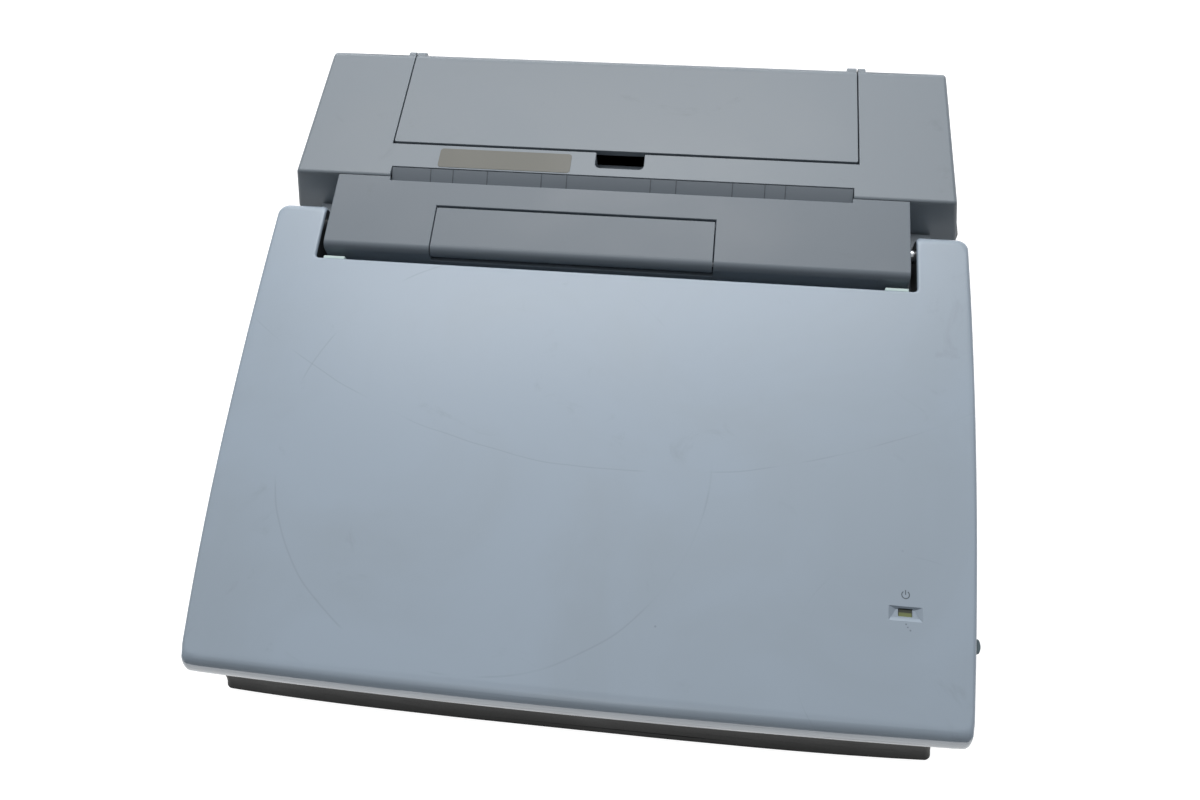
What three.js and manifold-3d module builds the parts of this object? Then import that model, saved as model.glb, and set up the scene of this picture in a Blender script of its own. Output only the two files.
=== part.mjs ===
// An electronic word processor: a portable machine with a hinged display lid, a keyboard under the
// lid and a printer in its rear block. Millimetres, X to the right, Y to the rear, Z up. The origin
// is on the ground under the middle of the machine.
import * as THREE from "three";
import { mergeVertices } from "three/addons/utils/BufferGeometryUtils.js";
import Module from "manifold-3d";

const wasm = await Module();
wasm.setup();
const degrees = Math.PI / 180;

// Walls and clearances
const wall = 2.5;
const gap = 0.3;
const seam = 0.5;
const overrun = 6;

// Steps of round shapes
const arcSteps = 5;
const sideSteps = 8;
const roundSides = 24;
const smallSides = 12;

// Lower case: a tray under the lid and a wider block behind it
const footHeight = 2;
const footRadius = 8;
const footInset = 45;
const deckSideBorder = 32;
const trayFrontSetback = 1.1;
const trayCorner = 5;
const trayDraft = 5 * degrees;
const blockInset = 1.5;
const blockCorner = 6;
const caseScrewInset = 20;
const caseScrewRadius = 3;
const caseScrewHead = 2;

// Printer housing on the rear block
const housingHeight = 27;
const housingFrontStrip = 24.4;
const housingEndWidth = 54;
const housingSideSpread = 6.2;
const housingRearSpread = 5.7;
const housingFrontSpread = 5.6;
const housingRearRound = 8;
const coverDepth = 75.3;
const coverSkirtDrop = 8.5;
const coverWellDrop = 10.5;
const coverLipDepth = 4;
const knuckleRadius = 4.5;
const knuckleInset = 2;
const knuckleDrop = 5;
const coverKnuckleWidth = 5.5;
const housingKnuckleWidth = 4.3;
const hingePinRadius = 1.5;
const fingerNotchHalfWidth = 14.2;
const fingerNotchDepth = 11.5;
const fingerNotchDrop = 11;
const slotFromCoverSide = 3.2;
const slotDepth = 7;
const chuteThickness = 2;
const labelWidth = 78.5;
const labelDepth = 14;
const labelThickness = 0.2;
const labelFromCoverSide = 30.2;
const labelSetback = 2.4;

// Hinge bar with its flap
const barEndClearance = 3.9;
const barTilt = 5.5 * degrees;
const barDepth = 48.4;
const barRoll = 4.5;
const barLipSetback = 2.6;
const barLipFromSlotEnd = 0.8;
const flapLeftBorder = 62.3;
const flapRightBorder = 106.8;
const flapRearSetback = 19.6;
const flapSeam = 1;
const flapThickness = 2.2;
const flapPinRadius = 1.2;
const flapBearingWidth = 2.5;
const flapLedgeDepth = 2.5;

// Lid, in its own frame: the hinge axis is its origin, and it slopes down to the front
const lidTilt = 6.07 * degrees;
const lidThickness = 18;
const lidOverhang = 12.7;
const lidFrontBorder = 33.81;
const lidWidestAhead = 63.4;
const lidSideRadius = 3400;
const lidFrontRadius = 6700;
const lidCorner = 9.5;
const earCorner = 6;
const earWidth = 30.5;
const notchReach = 26.3;
const hingeSetback = 27.6;
const hingeDrop = 14.25;
const bezelThickness = 2.2;
const screenHalfWidth = 106;
const screenDepth = 159;
const screenFromHinge = 68;
const panelMargin = 12;
const panelThickness = 6;
const panelBoardThickness = 3;
const shaftRadius = 4;
const shaftReach = 12;
const bracketThickness = 2;
const bracketLength = 62;
const bracketHalfHeight = 5;
const bracketRearReach = 2.5;
const clutchHalfDepth = 7;
const clutchWidth = 11;
const padFromBarEnd = 6.8;
const padWidth = 12;
const padThickness = 0.9;
const padHeight = 5;
const padLow = 1;
const lampFromFront = 61.41;
const lampFromSide = 38.4;
const lampRecessFrontWidth = 19;
const lampRecessRearWidth = 17;
const lampRecessDepth = 7;
const lampRecessDrop = 1.2;
const lampWidth = 6.1;
const lampDepth = 3.4;
const lampFlange = 1;
const lampBodyHeight = 2.2;
const contrastFromFront = 49.91;
const contrastLength = 7;
const contrastHeight = 3.4;
const contrastProud = 2.2;
const contrastTravel = 5;
const contrastFlange = 1.6;

// Keyboard
const lidDeckGap = 0.8;
const deckThickness = 2.5;
const wellSideMargin = 1.6;
const wellFromHinge = 110;
const wellSkirtDepth = 9.5;
const keyPitch = 19.05;
const keyGap = 2.4;
const keyHeight = 6.6;
const keyRecess = 1.2;
const keyCarrier = 1.2;
const keyPlateThickness = 1.6;
const keyPlateMargin = 4;
const keyboardClearance = 4.988;
const keyWidthShares = {
  key_row_function: [2, 2, 2, 2, 2, 2, 2, 2],
  key_row_number: [1, 1, 1, 1, 1, 1, 1, 1, 1, 1, 1, 1, 1, 1, 2],
  key_row_upper: [1.5, 1, 1, 1, 1, 1, 1, 1, 1, 1, 1, 1, 1, 1, 1.5],
  key_row_home: [1.75, 1, 1, 1, 1, 1, 1, 1, 1, 1, 1, 1, 1, 2.25],
  key_row_lower: [2.25, 1, 1, 1, 1, 1, 1, 1, 1, 1, 1, 1, 2.75],
  key_row_space: [1.5, 1.5, 1.5, 4, 3, 1.5, 1.5, 1.5],
};

// Paper drive
const frameOutsideCover = 3;
const frameThickness = 2;
const rollerAhead = 23.6;
const rollerBelowSplit = 7;
const rollerRadius = 14;
const rollerEndClearance = 10;
const rollerShaftRadius = 4;
const pinchRadius = 5;
const pinchEndClearance = 30;
const pinchShaftRadius = 2;
const toothModule = 1;
const gearTeeth = 36;
const pinionTeeth = 12;
const gearWidth = 6;
const gearPlay = 0.2;
const toothTipShare = 0.9;
const toothRootShare = 1.2;
const toothRootAngleShare = 0.3;
const toothTipAngleShare = 0.12;
const meshAngle = -20 * degrees;
const feedMotorRadius = 14;
const feedMotorLength = 27;
const motorShaftRadius = 1.5;
const motorShaftReach = 5;
const guideThickness = 2.3;
const guideDrop = 0.7;
const guideBehindRoller = 14.95;
const exitSlotFromSlotEnd = 8.8;
const exitSlotHeight = 7;

// Print carriage
const rodBelowSplit = 10;
const rodRadius = 4;
const carriageHalfWidth = 24;
const carriageFront = 14;
const carriageRear = 12;
const carriageHeight = 19;
const carriageLift = 2.7;
const carriageTabHalfWidth = 8;
const carriageTabHeight = 5;
const cartridgeInset = 4;
const cartridgeHeight = 18;
const beltAheadOfRear = 12.3;
const beltBehindRod = 28;
const beltThickness = 1;
const pulleyRadius = 6.3;
const pulleyFromFrame = 12;
const pulleyShaftRadius = 2;
const carriageMotorRadius = 11.5;
const carriageMotorHeight = 22;

// Electronics, power and drive
const boardThickness = 1.6;
const boardHalfDepth = 75;
const boardSideClearance = 16;
const boardDriveClearance = 7.1;
const boardBehindDriveFront = 56;
const chipHeight = 4;
const chipSize = 28;
const chipPlaceShares = [0.25, 0.4, 0.6, 0.8];
const supplyWidth = 42;
const supplyDepth = 76;
const supplyHeight = 38;
const supplyBoard = 3;
const supplyRearClear = 30;
const supplyCoilSideShare = 1 / 6;
const supplyCoilRearShare = 1 / 8;
const supplyCanPlaceShare = 0.75;
const supplyCanHeightShare = 0.7;
const inletWidth = 24;
const inletHeight = 16;
const inletDepth = 16;
const inletRim = 3;
const inletFromSide = 30;
const inletLow = 24;
const driveWidth = 102;
const driveLength = 104;
const driveHeight = 17;
const driveFromFront = 28.95;
const driveRecess = 1;
const diskSlotWidth = 92;
const diskSlotHeight = 5;
const diskSlotDepth = 90;
const diskSlotLowShare = 0.55;
const ejectWidth = 8;
const ejectHeight = 4;
const ejectProud = 1.2;
const ejectDepth = 6;
const ejectFromEnd = 16;
const switchFromFloor = 26;
const switchAheadOfHinge = 33.05;
const switchLength = 9;
const switchHeight = 5;
const switchProud = 3;
const switchTravel = 5;
const switchFlange = 1.8;

// Widths, worked out from the keyboard outwards
const rowShares = Object.values(keyWidthShares).map((row) => row.reduce((sum, share) => sum + share));
const wellHalfWidth = (Math.max(...rowShares) * keyPitch) / 2 + wellSideMargin;
const trayHalfWidth = wellHalfWidth + deckSideBorder;
const lidHalfWidth = trayHalfWidth + lidOverhang;
const blockHalfWidth = lidHalfWidth - blockInset;
const housingTopHalfWidth = blockHalfWidth - housingSideSpread;
const coverHalfWidth = housingTopHalfWidth - housingEndWidth;
const slotHalfWidth = coverHalfWidth - slotFromCoverSide;
const exitSlotHalfWidth = slotHalfWidth - exitSlotFromSlotEnd;
const notchHalfWidth = lidHalfWidth - earWidth;
const barHalfWidth = notchHalfWidth - barEndClearance;
const barLipHalfWidth = slotHalfWidth - barLipFromSlotEnd;
const flapLeft = barHalfWidth - flapLeftBorder;
const flapRight = barHalfWidth - flapRightBorder;
const padCentre = barHalfWidth - padFromBarEnd;
const lampCentre = lidHalfWidth - lampFromSide;
const labelFromLeft = coverHalfWidth - labelFromCoverSide;
const frameInnerHalf = coverHalfWidth + frameOutsideCover;
const rollerHalfLength = frameInnerHalf - rollerEndClearance;
const pinchHalfLength = frameInnerHalf - pinchEndClearance;
const pulleyFromMiddle = frameInnerHalf - pulleyFromFrame;

// Depths, worked out from the keyboard and the printer
const lidHalf = lidThickness / 2;
const wellDepth = Object.keys(keyWidthShares).length * keyPitch + keyGap;
const wellRear = -wellFromHinge;
const wellFront = wellRear - wellDepth;
const lidLength = lidFrontBorder - wellFront;
const lampFromHinge = lidLength - lampFromFront;
const contrastFromHinge = lidLength - contrastFromFront;
const housingTopDepth = coverDepth + housingFrontStrip;
const rearToHinge = housingRearSpread + housingTopDepth + hingeSetback;
const overallDepth = rearToHinge + lidHalf + (lidLength - lidHalf) * Math.cos(lidTilt);
const rearY = overallDepth / 2;
const frontY = -overallDepth / 2;
const housingTopRearY = rearY - housingRearSpread;
const housingTopFrontY = housingTopRearY - housingTopDepth;
const housingFootFrontY = housingTopFrontY - housingFrontSpread;
const coverSeamY = housingTopRearY - coverDepth;
const coverAxisY = housingTopRearY - knuckleInset;
const hingeY = housingTopFrontY - hingeSetback;
const trayFrontY = frontY + trayFrontSetback;
const driveFrontY = trayFrontY + driveFromFront;
const boardFrontY = driveFrontY + boardBehindDriveFront;
const switchY = hingeY - switchAheadOfHinge;
const barRearY = housingTopFrontY - seam;
const barLipY = barRearY - barLipSetback;
const barFrontY = barRearY - barDepth;
const rollY = barFrontY + barRoll;
const flapRearY = barRearY - flapRearSetback;
const slotRearY = housingTopFrontY + slotDepth;
const rollerY = housingTopFrontY - rollerAhead;
const pinchY = rollerY - rollerRadius - pinchRadius - gap;
const guideFrontY = rollerY + guideBehindRoller;
const beltY = housingTopRearY - beltAheadOfRear;
const rodY = beltY - beltBehindRod;

// Heights, worked out from the disk drive upwards
const deckTop = -(lidHalf + lidDeckGap);
const deckUnder = deckTop - deckThickness;
const keyTop = deckTop - keyRecess;
const keyBottom = keyTop - keyHeight;
const skirtBottom = deckUnder - wellSkirtDepth;
const plateBottom = skirtBottom - gap - keyPlateThickness;
const plateFront = wellFront - keyPlateMargin;
const floorZ = footHeight;
const floorTopZ = floorZ + wall;
const driveTopZ = floorTopZ + gap + driveHeight;
const plateDrop = -plateFront * Math.sin(lidTilt) - plateBottom * Math.cos(lidTilt);
const hingeZ = driveTopZ + keyboardClearance + plateDrop;
const topZ = hingeZ + hingeDrop;
const splitZ = topZ - housingHeight;
const coverAxisZ = topZ - knuckleDrop;
const barTopAt = (y) => topZ - (barRearY - y) * Math.tan(barTilt);
const rollZ = barTopAt(rollY) - barRoll / Math.cos(barTilt);
const rollerHeight = splitZ - rollerBelowSplit;
const rodHeight = splitZ - rodBelowSplit;
const guideTopZ = rollerHeight - rollerRadius - guideDrop;
const sloped = new THREE.Matrix4()
  .makeTranslation(0, hingeY, hingeZ)
  .multiply(new THREE.Matrix4().makeRotationX(lidTilt));

// Closed solids from three.js geometries, and their joins and cuts
function solid(geometry) {
  const bare = geometry.clone();
  bare.deleteAttribute("normal");
  bare.deleteAttribute("uv");
  const merged = mergeVertices(bare, 1e-4);
  return new wasm.Manifold(
    new wasm.Mesh({
      numProp: 3,
      vertProperties: new Float32Array(merged.attributes.position.array),
      triVerts: new Uint32Array(merged.index.array),
    }),
  );
}

function join(...solids) {
  return solids.reduce((whole, next) => whole.add(next));
}

function cut(whole, ...cutters) {
  return cutters.reduce((rest, cutter) => rest.subtract(cutter), whole);
}

function placed(shape, matrix) {
  return shape.transform(matrix.elements);
}

function box(x0, x1, y0, y1, z0, z1) {
  const geometry = new THREE.BoxGeometry(x1 - x0, y1 - y0, z1 - z0);
  geometry.translate((x0 + x1) / 2, (y0 + y1) / 2, (z0 + z1) / 2);
  return solid(geometry);
}

function extruded(outline, depth, steps = 1) {
  const shape = Array.isArray(outline) ? new THREE.Shape(outline) : outline;
  return new THREE.ExtrudeGeometry(shape, {
    depth,
    steps,
    bevelEnabled: false,
    curveSegments: arcSteps,
  });
}

function alongZ(outline, z0, z1) {
  return extruded(outline, z1 - z0).translate(0, 0, z0);
}

// An outline in Y and Z, pushed along X
function alongX(outline, x0, x1, steps) {
  const axes = new THREE.Matrix4().makeBasis(
    new THREE.Vector3(0, 1, 0),
    new THREE.Vector3(0, 0, 1),
    new THREE.Vector3(1, 0, 0),
  );
  return extruded(outline, x1 - x0, steps).applyMatrix4(axes).translate(x0, 0, 0);
}

function rodX(radius, x0, x1, y, z, sides) {
  const geometry = new THREE.CylinderGeometry(radius, radius, x1 - x0, sides);
  return solid(geometry.rotateZ(-Math.PI / 2).translate((x0 + x1) / 2, y, z));
}

function rodZ(radius, x, y, z0, z1, sides) {
  const geometry = new THREE.CylinderGeometry(radius, radius, z1 - z0, sides);
  return solid(geometry.rotateX(Math.PI / 2).translate(x, y, (z0 + z1) / 2));
}

function moved(geometry, move) {
  const points = geometry.attributes.position;
  const point = new THREE.Vector3();
  for (let i = 0; i < points.count; i += 1) {
    point.fromBufferAttribute(points, i);
    move(point);
    points.setXYZ(i, point.x, point.y, point.z);
  }
  return geometry;
}

function roundedRectangle(x0, x1, y0, y1, radius) {
  const shape = new THREE.Shape();
  shape.absarc(x1 - radius, y0 + radius, radius, -Math.PI / 2, 0);
  shape.absarc(x1 - radius, y1 - radius, radius, 0, Math.PI / 2);
  shape.absarc(x0 + radius, y1 - radius, radius, Math.PI / 2, Math.PI);
  shape.absarc(x0 + radius, y0 + radius, radius, Math.PI, Math.PI * 1.5);
  return shape;
}

function mesh(name, shape, finish) {
  const data = shape.getMesh();
  const geometry = new THREE.BufferGeometry();
  geometry.setAttribute("position", new THREE.BufferAttribute(data.vertProperties, 3));
  geometry.setIndex(new THREE.BufferAttribute(data.triVerts, 1));
  geometry.computeVertexNormals();
  const piece = new THREE.Mesh(geometry, new THREE.MeshStandardMaterial(finish));
  piece.name = name;
  return piece;
}

// Finishes
const lidPlastic = { color: 0x9aa9ba, roughness: 0.5 };
const housingPlastic = { color: 0x808a94, roughness: 0.55 };
const barPlastic = { color: 0x757f8a, roughness: 0.55 };
const casePlastic = { color: 0x3a3c38, roughness: 0.7 };
const keyPlastic = { color: 0xc9c9c0, roughness: 0.6 };
const darkPlastic = { color: 0x2b2d30, roughness: 0.6 };
const labelFilm = { color: 0x6b6a60, roughness: 0.6 };
const clearPlastic = { color: 0xa6a85c, roughness: 0.3 };
const glass = { color: 0x54605a, roughness: 0.2 };
const steel = { color: 0xb8bcc0, roughness: 0.3, metalness: 1 };
const blackRubber = { color: 0x1c1c1c, roughness: 0.9 };
const padRubber = { color: 0xc4d6d4, roughness: 0.8 };
const boardGreen = { color: 0x2f5a3c, roughness: 0.6 };
const gearWhite = { color: 0xe6e4da, roughness: 0.5 };

// Lower case
function trayBody(inset, z0, z1, rear) {
  const half = trayHalfWidth - inset;
  const outline = roundedRectangle(-half, half, trayFrontY + inset, rear, trayCorner - inset / 2);
  const lean = Math.tan(trayDraft);
  return solid(
    moved(alongZ(outline, z0, z1), (point) => {
      const shrink = lean * (point.z - floorZ);
      point.x -= Math.sign(point.x) * shrink;
      if (point.y < 0) {
        point.y += shrink;
      }
    }),
  );
}

function aboveSlope(level) {
  const wide = blockHalfWidth + overrun;
  return placed(box(-wide, wide, -overallDepth, overallDepth, level, level + overallDepth), sloped);
}

function behindTray(z0) {
  const wide = blockHalfWidth + overrun;
  return box(-wide, wide, housingFootFrontY - gap, rearY, z0, topZ + overrun);
}

function inletBox(grow, y0, y1) {
  const left = -blockHalfWidth + inletFromSide;
  return box(
    left - grow,
    left + inletWidth + grow,
    y0,
    y1,
    inletLow - grow,
    inletLow + inletHeight + grow,
  );
}

const driveMiddleY = driveFrontY + driveWidth / 2;
const driveRightX = trayHalfWidth - Math.tan(trayDraft) * (floorTopZ + driveHeight) - driveRecess;
const switchZ = floorZ + switchFromFloor;
const switchWallX = trayHalfWidth - Math.tan(trayDraft) * switchFromFloor;

function bottomCase() {
  const tray = cut(
    trayBody(0, floorZ, topZ, housingFootFrontY + wall),
    aboveSlope(deckUnder - gap),
    behindTray(splitZ),
  );
  const block = solid(
    alongZ(
      roundedRectangle(-blockHalfWidth, blockHalfWidth, housingFootFrontY, rearY, blockCorner),
      floorZ,
      splitZ,
    ),
  );
  const blockInner = solid(
    alongZ(
      roundedRectangle(
        -blockHalfWidth + wall,
        blockHalfWidth - wall,
        housingFootFrontY + wall,
        rearY - wall,
        blockCorner - wall,
      ),
      floorTopZ,
      splitZ + overrun,
    ),
  );
  const driveHole = box(
    driveRightX - overrun,
    trayHalfWidth + overrun,
    driveFrontY - gap,
    driveFrontY + driveWidth + gap,
    floorTopZ,
    floorTopZ + driveHeight + 2 * gap,
  );
  const switchSlot = box(
    switchWallX - overrun,
    switchWallX + overrun,
    switchY - switchLength / 2 - gap,
    switchY + switchLength / 2 + switchTravel + gap,
    switchZ - switchHeight / 2 - gap,
    switchZ + switchHeight / 2 + gap,
  );
  const exitSlot = box(
    -exitSlotHalfWidth,
    exitSlotHalfWidth,
    rearY - overrun,
    rearY + overrun,
    guideTopZ + gap,
    guideTopZ + gap + exitSlotHeight,
  );
  const screwHoles = caseScrewPlaces().map(([x, y]) =>
    rodZ(caseScrewRadius + gap, x, y, floorZ - overrun, floorTopZ + overrun, smallSides),
  );
  return cut(
    join(tray, block),
    trayBody(wall, floorTopZ, topZ, housingFootFrontY + 2 * wall),
    blockInner,
    driveHole,
    switchSlot,
    exitSlot,
    inletBox(gap, rearY - overrun, rearY + overrun),
    ...screwHoles,
  );
}

function caseScrewPlaces() {
  const x = trayHalfWidth - caseScrewInset;
  return [
    [-x, trayFrontY + caseScrewInset],
    [x, trayFrontY + caseScrewInset],
    [-x, rearY - caseScrewInset],
    [x, rearY - caseScrewInset],
  ];
}

function caseScrew([x, y]) {
  const head = rodZ(caseScrewRadius, x, y, floorZ + gap, floorTopZ + gap, smallSides);
  const rim = rodZ(
    caseScrewRadius + 2 * gap,
    x,
    y,
    floorTopZ + gap,
    floorTopZ + gap + caseScrewHead,
    smallSides,
  );
  return join(head, rim);
}

function foot(sideways, y) {
  const x = sideways * (trayHalfWidth - footInset);
  return rodZ(footRadius, x, y, 0, floorZ, roundSides);
}

// Deck over the keyboard, with a well for the keys and an opening under the hinge bar
function keyboardDeck() {
  const plate = cut(
    trayBody(0, floorZ, topZ, rearY),
    aboveSlope(deckTop),
    placed(
      box(-overallDepth, overallDepth, -overallDepth, overallDepth, -overallDepth, deckUnder),
      sloped,
    ),
    behindTray(0),
  );
  const skirtHalf = wellHalfWidth + wall;
  const skirt = box(
    -skirtHalf,
    skirtHalf,
    wellFront - wall,
    wellRear + wall,
    skirtBottom,
    (deckUnder + deckTop) / 2,
  );
  const well = box(
    -wellHalfWidth,
    wellHalfWidth,
    wellFront,
    wellRear,
    skirtBottom - overrun,
    deckTop + overrun,
  );
  const underBar = box(
    -barHalfWidth + 2 * wall,
    barHalfWidth - 2 * wall,
    barFrontY + wall + gap,
    rearY,
    floorZ,
    topZ,
  );
  return cut(join(plate, placed(skirt, sloped)), placed(well, sloped), underBar);
}

function keyboardPlate() {
  const half = wellHalfWidth + keyPlateMargin;
  return box(
    -half,
    half,
    plateFront,
    wellRear + keyPlateMargin,
    plateBottom,
    plateBottom + keyPlateThickness,
  );
}

// A row of key caps on its carrier strip, which runs from wall to wall of the well
function keyRow(widths, index) {
  const rear = wellRear - keyGap / 2 - index * keyPitch;
  const front = rear - keyPitch;
  const carrier = box(
    -wellHalfWidth + gap,
    wellHalfWidth - gap,
    front + gap / 2,
    rear - gap / 2,
    keyBottom - keyCarrier,
    keyBottom,
  );
  const total = widths.reduce((sum, width) => sum + width, 0);
  let x = (-total * keyPitch) / 2;
  const caps = widths.map((width) => {
    const left = x;
    x += width * keyPitch;
    return box(
      left + keyGap / 2,
      x - keyGap / 2,
      front + keyGap / 2,
      rear - keyGap / 2,
      keyBottom - keyCarrier / 2,
      keyTop,
    );
  });
  return join(carrier, ...caps);
}

// Printer housing: flared walls, a rounded rear edge, the cover's well and the paper slot
function housingOutline(inset) {
  const shape = new THREE.Shape();
  const lean = housingFrontSpread / (topZ - splitZ);
  const base = inset > 0 ? splitZ - overrun : splitZ + gap;
  const top = topZ - inset;
  const frontAt = (z) => housingFootFrontY + lean * (z - splitZ) + inset;
  const rearLean = housingRearSpread / (topZ - splitZ);
  const rearAt = (z) => rearY - rearLean * (z - splitZ) - inset;
  const round = housingRearRound - inset;
  shape.moveTo(rearAt(base), base);
  shape.lineTo(rearAt(top - round), top - round);
  shape.quadraticCurveTo(rearAt(top), top, rearAt(top) - round, top);
  shape.lineTo(frontAt(top), top);
  shape.lineTo(frontAt(base), base);
  shape.closePath();
  return shape;
}

function housingBody(inset) {
  const half = blockHalfWidth - inset;
  const lean = (blockHalfWidth - housingTopHalfWidth) / (topZ - splitZ);
  return solid(
    moved(alongX(housingOutline(inset), -half, half), (point) => {
      point.x -= Math.sign(point.x) * lean * (point.z - splitZ);
    }),
  );
}

function bothSides(make) {
  return join(make(-1), make(1));
}

function span(side, near, far) {
  return side > 0 ? [near, far] : [-far, -near];
}

function fingerNotch(grow, low, high) {
  return box(
    -fingerNotchHalfWidth - grow,
    fingerNotchHalfWidth + grow,
    coverSeamY - fingerNotchDepth - grow,
    coverSeamY + gap,
    low,
    high,
  );
}

function printerHousing() {
  const knuckleNear = coverHalfWidth + gap;
  const knuckles = bothSides((side) =>
    rodX(
      knuckleRadius,
      ...span(side, knuckleNear, knuckleNear + housingKnuckleWidth),
      coverAxisY,
      coverAxisZ,
      smallSides,
    ),
  );
  const cupLow = topZ - fingerNotchDrop - wall;
  const shell = cut(housingBody(0), housingBody(wall));
  const coverWell = box(
    -coverHalfWidth,
    coverHalfWidth,
    coverSeamY,
    rearY + overrun,
    topZ - coverWellDrop,
    topZ + overrun,
  );
  const bores = rodX(
    hingePinRadius + gap,
    -coverHalfWidth - overrun,
    coverHalfWidth + overrun,
    coverAxisY,
    coverAxisZ,
    smallSides,
  );
  const slot = box(
    -slotHalfWidth,
    slotHalfWidth,
    housingFootFrontY - overrun,
    slotRearY,
    splitZ,
    topZ + overrun,
  );
  const barSide = box(
    -barHalfWidth + wall,
    barHalfWidth - wall,
    housingFootFrontY - overrun,
    housingTopFrontY + wall,
    splitZ,
    topZ - wall,
  );
  const barEnds = box(
    -barHalfWidth - gap,
    barHalfWidth + gap,
    housingFootFrontY - overrun,
    housingTopFrontY,
    splitZ,
    topZ + overrun,
  );
  return cut(
    join(shell, knuckles, fingerNotch(wall, cupLow, topZ - wall / 2)),
    fingerNotch(0, cupLow + wall, topZ + overrun),
    coverWell,
    bores,
    slot,
    barSide,
    barEnds,
  );
}

function printerCover() {
  const half = coverHalfWidth - seam;
  const front = coverSeamY + seam;
  const inHousing = box(-half, half, front, rearY, topZ - coverSkirtDrop, topZ + overrun);
  const plate = cut(inHousing.intersect(housingBody(0)), housingBody(wall));
  const lip = box(-half, half, front, front + wall, topZ - coverLipDepth, topZ - wall / 2);
  const knuckles = bothSides((side) =>
    rodX(
      knuckleRadius,
      ...span(side, half - coverKnuckleWidth, half),
      coverAxisY,
      coverAxisZ,
      smallSides,
    ),
  );
  const bore = rodX(
    hingePinRadius + gap,
    -coverHalfWidth,
    coverHalfWidth,
    coverAxisY,
    coverAxisZ,
    smallSides,
  );
  return cut(join(plate, lip, knuckles), bore);
}

function coverHingePin(side) {
  const near = coverHalfWidth - seam - coverKnuckleWidth;
  const far = coverHalfWidth + gap + housingKnuckleWidth;
  return rodX(hingePinRadius, ...span(side, near, far), coverAxisY, coverAxisZ, smallSides);
}

function noticeLabel() {
  const rear = coverSeamY - labelSetback;
  return box(
    -labelFromLeft,
    -labelFromLeft + labelWidth,
    rear - labelDepth,
    rear,
    topZ,
    topZ + labelThickness,
  );
}

// The chute slopes from the slot's rear edge, under the bar's lip, to the top of the feed roller
function paperChute() {
  const startY = slotRearY - gap;
  const startZ = topZ - gap;
  const endY = rollerY + rollerRadius / 2;
  const endZ = rollerHeight + rollerRadius + 2 * chuteThickness;
  const lipZ = barTopAt(barLipY) - wall - slotDepth / 4;
  const line = new THREE.QuadraticBezierCurve(
    new THREE.Vector2(startY, startZ),
    new THREE.Vector2(barLipY, lipZ),
    new THREE.Vector2(endY, endZ),
  ).getPoints(arcSteps);
  const under = line.map((point) => new THREE.Vector2(point.x, point.y - chuteThickness));
  const outline = [...line, ...under.reverse()];
  return solid(alongX(outline, -slotHalfWidth + gap, slotHalfWidth - gap));
}

// Hinge bar: a shell with a rolled front edge, open behind and below
function barOutline(inset) {
  const shape = new THREE.Shape();
  const base = splitZ - overrun;
  const rear = inset > 0 ? barRearY + overrun : barRearY;
  const radius = barRoll - inset;
  shape.moveTo(rear, base);
  shape.lineTo(rear, barTopAt(rear) - inset / Math.cos(barTilt));
  shape.absarc(rollY, rollZ, radius, Math.PI / 2 + barTilt, Math.PI, false);
  shape.lineTo(rollY - radius, base);
  shape.closePath();
  return shape;
}

function barBody(inset, endInset) {
  const half = barHalfWidth - endInset;
  return solid(alongX(barOutline(inset), -half, half));
}

function flapPin(radius) {
  return rodX(
    radius,
    -flapLeft - seam - flapBearingWidth,
    flapRight + seam + flapBearingWidth,
    rollY,
    rollZ,
    smallSides,
  );
}

function hingeBar() {
  const shell = cut(barBody(0, 0), barBody(wall, wall));
  const webs = [-flapLeft - seam - flapBearingWidth, flapRight + seam].map((x) =>
    box(
      x,
      x + flapBearingWidth,
      barFrontY + wall / 2,
      rollY + barRoll,
      rollZ - barRoll,
      rollZ + barRoll / 2,
    ),
  );
  const ledgeTop = barTopAt(flapRearY) - flapThickness - 2 * gap;
  const ledge = box(
    -flapLeft - seam - wall / 2,
    flapRight + seam + wall / 2,
    flapRearY - flapLedgeDepth,
    flapRearY + flapSeam + wall / 2,
    ledgeTop - wall / 2,
    ledgeTop,
  );
  const ledgeWeb = box(
    -flapLeft - seam - wall / 2,
    flapRight + seam + wall / 2,
    flapRearY + flapSeam,
    flapRearY + flapSeam + wall / 2,
    ledgeTop - wall / 2,
    barTopAt(flapRearY) - wall / 2,
  );
  const flapHole = box(
    -flapLeft - seam,
    flapRight + seam,
    barFrontY - overrun,
    flapRearY + flapSeam,
    rollZ - barRoll - seam,
    topZ + overrun,
  );
  const lipCut = box(-barLipHalfWidth, barLipHalfWidth, barLipY, rearY, splitZ, topZ + overrun);
  const shaftHoles = rodX(
    shaftRadius + gap,
    -blockHalfWidth,
    blockHalfWidth,
    hingeY,
    hingeZ,
    roundSides,
  );
  return cut(
    join(cut(join(shell, ...webs), flapHole), ledge, ledgeWeb),
    lipCut,
    shaftHoles,
    flapPin(flapPinRadius + gap),
    placed(
      box(-overallDepth, overallDepth, -overallDepth, overallDepth, -overallDepth, deckTop + gap),
      sloped,
    ),
  );
}

function paperFlap() {
  const plate = box(-flapLeft, flapRight, rollY, flapRearY, rollZ, topZ + overrun).intersect(
    cut(barBody(0, 0), barBody(flapThickness, -overrun)),
  );
  const roll = rodX(barRoll, -flapLeft, flapRight, rollY, rollZ, roundSides);
  return cut(join(plate, roll), flapPin(flapPinRadius + gap));
}

// Lid shapes, in the lid's own frame
function lidSideX(y, inset) {
  return lidHalfWidth - inset - (y + lidWidestAhead) ** 2 / (2 * lidSideRadius);
}

function lidBow(x) {
  return x ** 2 / (2 * lidFrontRadius);
}

function arcPoints(x, y, radius, from, to) {
  const points = [];
  for (let i = 0; i <= arcSteps; i += 1) {
    const angle = from + ((to - from) * i) / arcSteps;
    points.push(new THREE.Vector2(x + radius * Math.cos(angle), y + radius * Math.sin(angle)));
  }
  return points;
}

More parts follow.
